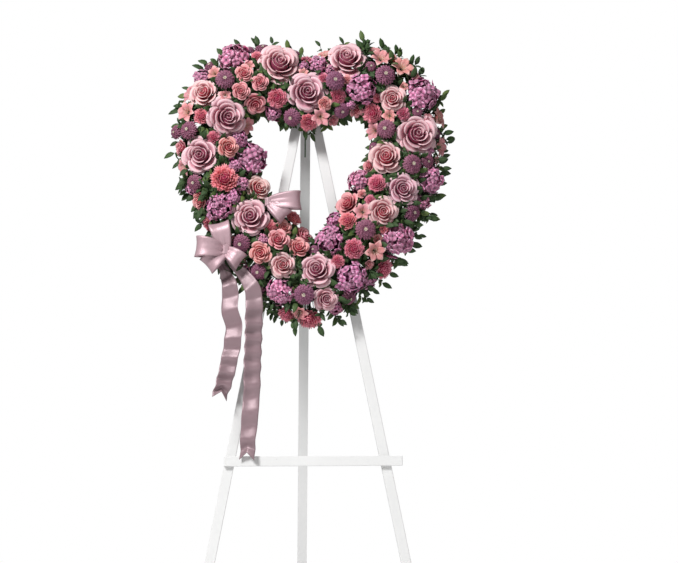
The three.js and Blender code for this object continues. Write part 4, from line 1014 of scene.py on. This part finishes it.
def build_foliage(name):
    """Leafy sprigs standing in the foam along one side of the heart, thick enough to hide it: a tip lies reach
    sin(turn) sideways of the heart's line and 32 to 42 cos(turn) ahead of the shell's middle."""
    first, last, sign, near, far = GARLANDS[name]
    sizes = bpy.context.scene.wreath_sizes
    draw = draws_for(name)
    step = sizes.sprig_spacing / MM / np.linalg.norm(LINE[1] - LINE[0])
    stations = np.arange(first, last, step)
    turns = np.radians([2, 16, 30, 44, 58, 71, 84, 97, 110])
    station, turn = (grid.ravel() for grid in np.meshgrid(stations, turns, indexing="ij"))
    station = station + draw.uniform(-0.7, 0.7, len(station)) * step
    turn = turn + np.radians(draw.uniform(-6, 6, len(turn)))
    index = np.clip(np.round(station).astype(int), 0, len(LINE) - 1) % len(LINE)
    out = unit(OUTWARD[index]) * sign
    flow = np.stack([-out[:, 1], 0 * station, out[:, 0]], -1)

    def at(side, front):
        flat = LINE[index] + out * (side * np.sin(turn))[:, None]
        return np.stack([flat[:, 0], SHELL_MIDDLE - front * np.cos(turn), flat[:, 1]], -1)

    reach = draw.uniform(near, far, len(turn))
    foot, tip = at(20, 12), at(reach, draw.uniform(32, 42, len(turn)))
    tip = tip + flow * draw.uniform(-9, 9, (len(turn), 1))
    keep = (tip[:, 1] < -4) & clear_of_heads(tip[:, None])
    foot, tip, flow = foot[keep], tip[keep], flow[keep]
    if name == "foliage_outer_bottom":
        low = np.stack([draw.uniform(-34, 22, TIP_SPRIGS), draw.uniform(-258, -238, TIP_SPRIGS)], -1)
        low[:, 1] += 0.012 * (low[:, 0] + 4) ** 2
        front = draw.uniform(-52, -26, TIP_SPRIGS)
        foot = np.concatenate([foot, np.stack([0.3 * low[:, 0], 0 * front + STEM_FOOT, 0 * front - 196], -1)])
        tip = np.concatenate([tip, np.stack([low[:, 0], front, low[:, 1]], -1)])
        flow = np.concatenate([flow, np.tile([1.0, 0, 0], (TIP_SPRIGS, 1))])
    shape = Shape()
    ahead = unit(tip - foot)
    sprig_tone = draw.uniform(0, 1, len(tip))
    add_tubes(shape, np.stack([foot, tip], 1), np.full((len(tip), 2), 0.8) * [1.0, 0.6], 4)
    side = unit(np.cross(ahead, flow))
    for k, share in enumerate((1.0, 0.92, 0.86, 0.79, 0.72, 0.65, 0.58, 0.5)):
        swing = 2.4 * k + draw.uniform(-0.4, 0.4, len(tip))
        spread = 0.25 if k == 0 else 0.95
        around = flow * np.cos(swing)[:, None] + side * np.sin(swing)[:, None]
        away = unit(ahead * (1 - 0.45 * spread) + spread * around)
        root = foot + (tip - foot) * share
        length = sizes.leaf_length / MM * draw.uniform(0.55, 1.0, len(tip))
        width = sizes.leaf_width / MM * draw.uniform(0.75, 1.0, len(tip)) * length / (sizes.leaf_length / MM)
        samples = np.stack([root + away * (length * part)[:, None] for part in (0.3, 0.65, 1.0)], 1)
        clear = clear_of_heads(samples) & (samples[:, :, 1] < -3).all(1)
        facing = unit(ahead + [0, -0.9, 0] + draw.uniform(-0.3, 0.3, ahead.shape))
        add_leaves(shape, root[clear], away[clear], facing[clear], length[clear], width[clear],
                   sprig_tone[clear], draw)
    enter(shape.make(name + "_sprigs", ["leaves"]), "leaves", name)


def build_ring(name, node, section, slot):
    """Sweeps a closed section of (sideways, y) corners round the heart; neither half crosses its middle."""
    per_side = 110
    line = heart_line(per_side)
    out = outward_of(line)
    section = np.asarray(section, float)
    flat = line[:, None] + section[None, :, 0, None] * out[:, None]
    right = np.arange(len(line)) < per_side
    limit = np.where(right[:, None], np.maximum(flat[..., 0], 0.02), np.minimum(flat[..., 0], -0.02))
    middle = np.abs(line[:, 0]) < 1e-6
    flat[..., 0] = np.where(middle[:, None], 0.0, limit)
    depth = np.broadcast_to(section[:, 1], flat.shape[:2])
    points = np.stack([flat[..., 0], depth, flat[..., 1]], -1)
    index = np.arange(points.shape[0] * points.shape[1]).reshape(points.shape[:2])
    onward, turned = np.roll(index, -1, 0), np.roll(index, -1, 1)
    both = np.roll(onward, -1, 1)
    faces = np.stack([index, onward, both, turned], -1).reshape(-1, 4)
    count = index.size
    shape = Shape()
    shape.add(points.reshape(-1, 3), [faces], np.zeros((count, 3)), np.zeros((count, 3)))
    made = shape.make(name, [slot])
    faces_out(made.data)
    enter(made, slot, node)


def eased_copy(node, slot, ease):
    """A CAD node's shape with its triangles merged back to flat faces and its edges eased by a small radius."""
    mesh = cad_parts[node].data.copy()
    faces_out(mesh, merged=True)
    mesh.materials.clear()
    mesh.materials.append(finish_for(slot))
    made = linked(node + "_finished", mesh)
    bevel = made.modifiers.new("eased edges", "BEVEL")
    bevel.width = ease
    bevel.segments = 2
    bevel.limit_method = "ANGLE"
    bevel.angle_limit = math.radians(40)
    enter(made, slot, node, "rear_leg" if node == "easel_rear_leg" else "stand_front")


def smooth_path(points, count):
    """A smooth curve through the points, by the usual four-point cubic, at count even steps of its parameter."""
    points = np.asarray(points, float)
    padded = np.concatenate([[2 * points[0] - points[1]], points, [2 * points[-1] - points[-2]]])
    t = np.linspace(0, len(points) - 1, count)
    k = np.minimum(t.astype(int), len(points) - 2)
    f = (t - k)[:, None]
    a, b, c, d = (padded[k + i] for i in range(4))
    return 0.5 * (2 * b + (c - a) * f + (2 * a - 5 * b + 4 * c - d) * f ** 2 + (3 * b - a - 3 * c + d) * f ** 3)


def ribbon_loop(knot, away, length, puff, width):
    """A gathered loop as a grid of 33 x 11 points, and the length of its middle.

    With s from 0 to pi, the middle goes out length sin^2 s and forward puff sin 2s sin s (0.22 of it on the way
    back) + 2.5 cos s, and the half width is width (0.34 + 0.66 sin^0.7 s) / 2. Three pleats, 2.2 (1 - sin s)^1.3
    deep, fade from the knot to a hollow in the middle of the loop.
    """
    along = unit(np.array(away, float))
    across = unit(np.array([-away[2], 0, away[0]], float))
    forward = unit(np.cross(across, along))
    forward = -forward if forward[1] > 0 else forward
    s = np.linspace(0, math.pi, 33)
    swell = np.sin(2 * s) * np.sin(s) * puff
    lift = np.where(swell > 0, swell, 0.22 * swell) + 2.5 * np.cos(s)
    middle = np.array(knot, float) + np.outer(length * np.sin(s) ** 2, along) + np.outer(lift, forward)
    tangent = unit(np.gradient(middle, axis=0))
    normal = np.cross(tangent, across)
    half = width / 2 * (0.34 + 0.66 * np.maximum(np.sin(s), 0) ** 0.7)
    u = np.linspace(-1, 1, 11)
    pleat = (1 - np.sin(s)) ** 1.3
    folds = np.cos(3 * math.pi * u) + 0.5 * np.sin(5 * math.pi * u + 1)
    depth = 2.2 * pleat[:, None] * folds + 2.4 * np.sin(s)[:, None] * (u ** 2 - 0.4)
    grid = middle[:, None] + across * (half[:, None] * u)[..., None] + normal[:, None] * depth[..., None]
    run = np.linalg.norm(np.diff(middle, axis=0), axis=1).sum()
    return grid, run


def build_bow(name, node, knot, loops, block, width):
    """Loops of satin gathered into a wrapped knot, as one sheet of ribbon. The wrap is an oval tube round the
    knot: its half sizes are the block's three numbers, times 1 + 0.10 cos 7u (1 - v^2) for its pleats."""
    shape = Shape()
    total = 0.0
    for away, length, puff, wide in loops:
        grid, run = ribbon_loop(knot, away, length, puff, wide)
        add_sheets(shape, grid[None], LOOP_THICKNESS, 0.0, 0.5, 0.5, 0, False)
        total += run
    u = np.linspace(0, 2 * np.pi, 25)[None, :]
    v = np.linspace(-1, 1, 9)[:, None]
    reach = 1 + 0.10 * np.cos(7 * u) * (1 - v ** 2)
    wrap = np.stack([knot[0] + block[0] * np.cos(u) * reach * (0.86 + 0.14 * v ** 2),
                     knot[1] + block[1] * np.sin(u) * reach, knot[2] + block[2] * v + 0.6 * np.sin(3 * u)], -1)
    add_sheets(shape, wrap[None], WRAP_THICKNESS, 0.0, 0.5, 0.5, 0, False)
    total += 2 * math.pi * 0.7 * (block[0] + block[1]) / 2 * (2 * block[2]) / (width / MM)
    made = shape.make(name, ["mauve_satin"])
    enter(made, "mauve_satin", node)
    total * MM


def build_tail(name, node, path, lean, phase, width):
    """A hanging ribbon: a strip down a smooth path, gathered at its top into three pleats, with a soft crease
    across it at about every CREASE_SPACING, 3.2 arcsin(0.93 sin) deep, and a dovetail cut into its end."""
    rows = 110
    curve = smooth_path(path, rows)
    share = np.linspace(0, 1, rows)
    half = curve[:, 3]
    middle = curve[:, :3] + [0, APEX[1], 0]
    down = unit(np.gradient(middle, axis=0))
    turn = lean * np.sin(math.pi * share * 2.5)
    sideways = np.stack([np.cos(turn), np.sin(turn), 0 * turn], -1)
    across = unit(sideways - down * (sideways * down).sum(-1, keepdims=True))
    normal = np.cross(down, across)
    u = np.linspace(-1, 1, 13)
    open_width = np.clip((half - 4) / 10, 0, 1)
    run = np.concatenate([[0], np.cumsum(np.linalg.norm(np.diff(middle, axis=0), axis=1))])
    ripple = run[:, None] / CREASE_SPACING + 0.07 * u[None] + 0.45 * np.sin(run[:, None] / 41 + phase)
    crease = np.arcsin(0.93 * np.sin(2 * math.pi * ripple + phase)) * 3.2
    roll = (crease + 0.8 * np.sin(math.pi * u[None] + phase + 5 * share[:, None])) * open_width[:, None]
    roll += 1.1 * np.cos(3 * math.pi * u[None]) * (1 - open_width[:, None])
    grid = middle[:, None] + across[:, None] * (half[:, None] * u)[..., None] + normal[:, None] * roll[..., None]
    last = np.clip((share - 0.9) / 0.1, 0, 1)[:, None, None]
    grid -= last * DOVETAIL * (1 - np.abs(u))[None, :, None] * down[:, None]
    shape = Shape()
    # The tier of 1 marks the tail, which the satin finish draws in painted shade
    add_sheets(shape, grid[None], TAIL_THICKNESS, 1.0, 0.5, 0.5, 0, False)
    made = shape.make(name, ["mauve_satin"], world=lambda points: points * MM)
    enter(made, "mauve_satin", node)
    run[-1] * MM
    width * (run[-1] - 0.5 * DOVETAIL) * MM


# Sections of the tray and the foam: corners, sideways from the heart's line and in depth
TRAY_SECTION = [
    (-27, -0.6), (-26.2, -0.3), (-23.5, -0.3), (-22.5, -1.6), (22.5, -1.6), (23.5, -0.3), (26.2, -0.3), (27, -0.6),
    (27, -5.5), (26.4, -6.0), (-26.4, -6.0), (-27, -5.5),
]
FOAM_SECTION = [
    (-23.5, -6.3), (23.5, -6.3), (24, -7), (24, -34), (22.5, -37.5), (18.5, -40.6), (17, -41), (-17, -41),
    (-18.5, -40.6), (-22.5, -37.5), (-24, -34), (-24, -7),
]
# The loops of each bow: the way it points, its length, how far it puffs forward and its width
BOW_LOOPS = [
    ((-0.25, 0, 0.97), 50, 24, 38), ((-1, -0.1, 0.1), 53, 24, 38), ((-0.75, 0, -0.66), 45, 18, 34),
    ((0.78, 0, -0.62), 36, 20, 32),
]
INNER_LOOPS = [((1, 0, 0.05), 58, 20, 34), ((0.74, 0, -0.67), 42, 16, 30)]
# The tails' middles in millimetres, x, y from the apex and z, and the half width of the ribbon there
LEFT_TAIL = [
    (-153.7, -95.6, 857.5, 4), (-154.2, -94.6, 851, 5), (-155, -91, 840, 7), (-148, -92.5, 825, 10.5),
    (-140, -99, 800, 14), (-140, -106, 765, 16), (-133, -103, 720, 16), (-141, -105, 669, 15),
    (-149, -103, 635, 15), (-160, -104, 600, 14),
]
RIGHT_TAIL = [
    (-144.4, -95.7, 857.35, 4), (-144, -95.4, 851, 4.2), (-135, -93, 840, 7), (-119, -95.5, 826, 10.5),
    (-101, -106, 800, 14), (-97, -112, 780, 15), (-97, -108, 755, 16), (-98, -104, 710, 16),
    (-100, -107, 660, 16), (-101, -104, 610, 15), (-105, -106, 560, 15), (-108, -102.5, 520, 14),
    (-109, -101.5, 490, 14),
]


class WREATH_OT_easel(bpy.types.Operator):
    """Paint the easel's laths and ease their edges"""
    bl_idname = "wreath.easel"
    bl_label = "Easel"

    def execute(self, context):
        ease = context.scene.wreath_sizes.edge_ease
        for node in ("easel_leg_left", "easel_leg_right", "easel_crossbar", "easel_head_block", "easel_rear_leg"):
            eased_copy(node, "painted_wood", ease)
        return {"FINISHED"}


class WREATH_OT_hardware(bpy.types.Operator):
    """Finish the pivot bracket, its bolt and the wire ties"""
    bl_idname = "wreath.hardware"
    bl_label = "Pivot and ties"

    def execute(self, context):
        for node in ("pivot_bracket", "pivot_bolt"):
            eased_copy(node, "bracket_steel", STEEL_EASE)
        for node in ("wire_tie_top", "wire_tie_left", "wire_tie_right"):
            eased_copy(node, "green_wire", WIRE_EASE)
        return {"FINISHED"}


class WREATH_OT_base(bpy.types.Operator):
    """Build the moulded tray and the foam heart"""
    bl_idname = "wreath.base"
    bl_label = "Tray and foam"

    def execute(self, context):
        build_ring("backing_tray_moulding", "backing_tray", TRAY_SECTION, "green_tray")
        build_ring("foam_heart_block", "foam_heart", FOAM_SECTION, "wet_foam")
        return {"FINISHED"}


class WREATH_OT_roses(bpy.types.Operator):
    """Build the large roses"""
    bl_idname = "wreath.roses"
    bl_label = "Roses"

    def execute(self, context):
        build_kind("rose")
        return {"FINISHED"}


class WREATH_OT_spray_roses(bpy.types.Operator):
    """Build the small spray roses"""
    bl_idname = "wreath.spray_roses"
    bl_label = "Spray roses"

    def execute(self, context):
        build_kind("spray_rose")
        return {"FINISHED"}


class WREATH_OT_carnations(bpy.types.Operator):
    """Build the ruffled carnations"""
    bl_idname = "wreath.carnations"
    bl_label = "Carnations"

    def execute(self, context):
        build_kind("carnation")
        return {"FINISHED"}


class WREATH_OT_mums(bpy.types.Operator):
    """Build the button chrysanthemums"""
    bl_idname = "wreath.mums"
    bl_label = "Button mums"

    def execute(self, context):
        build_kind("mum")
        return {"FINISHED"}


class WREATH_OT_hydrangeas(bpy.types.Operator):
    """Build the hydrangea heads"""
    bl_idname = "wreath.hydrangeas"
    bl_label = "Hydrangeas"

    def execute(self, context):
        build_kind("hydrangea")
        return {"FINISHED"}


class WREATH_OT_lilies(bpy.types.Operator):
    """Build the small lilies"""
    bl_idname = "wreath.lilies"
    bl_label = "Lilies"

    def execute(self, context):
        build_kind("lily")
        return {"FINISHED"}


class WREATH_OT_foliage(bpy.types.Operator):
    """Fill the wreath with leafy sprigs"""
    bl_idname = "wreath.foliage"
    bl_label = "Foliage"

    def execute(self, context):
        for name in GARLANDS:
            build_foliage(name)
        return {"FINISHED"}


class WREATH_OT_ribbon(bpy.types.Operator):
    """Fold the satin bow, its inner loops and the hanging tails"""
    bl_idname = "wreath.ribbon"
    bl_label = "Ribbon"

    def execute(self, context):
        width = context.scene.wreath_sizes.ribbon_width
        build_bow("ribbon_bow_satin", "ribbon_bow", KNOT, BOW_LOOPS, (10, 9, 9), width)
        build_bow("ribbon_loops_inner_satin", "ribbon_loops_inner", INNER_KNOT, INNER_LOOPS, (7, 6, 7), width)
        build_tail("ribbon_tail_left_satin", "ribbon_tail_left", LEFT_TAIL, 0.35, 0.4, width)
        build_tail("ribbon_tail_right_satin", "ribbon_tail_right", RIGHT_TAIL, -0.3, 1.9, width)
        return {"FINISHED"}


class WREATH_OT_stage(bpy.types.Operator):
    """Lay the pale floor, hang the soft lights and set the camera at the photograph's angle"""
    bl_idname = "wreath.stage"
    bl_label = "Stage"

    def execute(self, context):
        scene = context.scene
        shape = Shape()
        turn = np.linspace(0, 2 * math.pi, 65)[:-1]
        rim = np.stack([FLOOR_RADIUS * np.cos(turn), FLOOR_RADIUS * np.sin(turn), 0 * turn - 0.2], -1)
        shape.add(rim, [np.arange(64)[None]], 0 * rim, 0 * rim)
        finish = Finish("pale floor")
        cloud = finish.noise(finish.object_point(), 1.2, 2.0)
        finish.paint(base_color=finish.mixed(cloud, (0.90, 0.90, 0.90), (0.93, 0.93, 0.93)), roughness=0.8)
        floor = shape.make("floor", [], world=lambda points: points * MM)
        floor.data.materials.append(finish.material)
        world = bpy.data.worlds.new("studio")
        sky = Shader(world)
        seen = sky.node("LightPath")["Is Camera Ray"]
        background = sky.tree.nodes["Background"].inputs
        sky.put(background["Color"], (1, 1, 1))
        sky.put(background["Strength"], sky.node("MapRange", values={"Value": seen, "To Min": AMBIENT})["Result"])
        scene.world = world
        for label, place, aim, size, power in LAMPS:
            lamp = bpy.data.lights.new(label, "AREA")
            lamp.size = size
            lamp.energy = power
            made = linked(label, lamp)
            made.location = place
            toward = np.array([0, -0.2, aim]) - np.array(place)
            pan = math.atan2(-toward[0], toward[1])
            tilt = math.atan2(toward[2], math.hypot(*toward[:2]))
            made.rotation_euler = (math.pi / 2 + tilt, 0, pan)
        lens = bpy.data.cameras.new("camera")
        lens.sensor_width = 36
        lens.lens = CAMERA_LENS
        lens.clip_end = 100
        camera = linked("camera", lens)
        camera.location = CAMERA_PLACE
        camera.rotation_euler = (math.pi / 2, 0, CAMERA_TURN)
        scene.camera = camera
        scene.view_settings.view_transform = "Standard"
        return {"FINISHED"}


OPERATORS = (
    WREATH_OT_easel, WREATH_OT_hardware, WREATH_OT_base, WREATH_OT_roses, WREATH_OT_spray_roses,
    WREATH_OT_carnations, WREATH_OT_mums, WREATH_OT_hydrangeas, WREATH_OT_lilies, WREATH_OT_foliage,
    WREATH_OT_ribbon, WREATH_OT_stage,
)


class WREATH_PT_panel(bpy.types.Panel):
    """Sizes, colours and the steps that build the wreath"""
    bl_idname = "WREATH_PT_panel"
    bl_label = "Funeral wreath"
    bl_space_type = "VIEW_3D"
    bl_region_type = "UI"
    bl_category = "Wreath"

    def draw(self, context):
        for group in (context.scene.wreath_sizes, context.scene.wreath_colours):
            for name in group.__annotations__:
                self.layout.prop(group, name)
        for operator in OPERATORS:
            self.layout.operator(operator.bl_idname)


CLASSES = (WreathSizes, WreathColours, *OPERATORS, WREATH_PT_panel)


def register():
    for each in CLASSES:
        bpy.utils.register_class(each)
    bpy.types.Scene.wreath_sizes = bpy.props.PointerProperty(type=WreathSizes)
    bpy.types.Scene.wreath_colours = bpy.props.PointerProperty(type=WreathColours)


def unregister():
    del bpy.types.Scene.wreath_colours
    del bpy.types.Scene.wreath_sizes
    for each in reversed(CLASSES):
        bpy.utils.unregister_class(each)


def main():
    register()
    bpy.ops.wreath.stage()
    bpy.ops.wreath.easel()
    bpy.ops.wreath.hardware()
    bpy.ops.wreath.base()
    bpy.ops.wreath.roses()
    bpy.ops.wreath.spray_roses()
    bpy.ops.wreath.carnations()
    bpy.ops.wreath.mums()
    bpy.ops.wreath.hydrangeas()
    bpy.ops.wreath.lilies()
    bpy.ops.wreath.foliage()
    bpy.ops.wreath.ribbon()


if __name__ == "__main__":
    main()
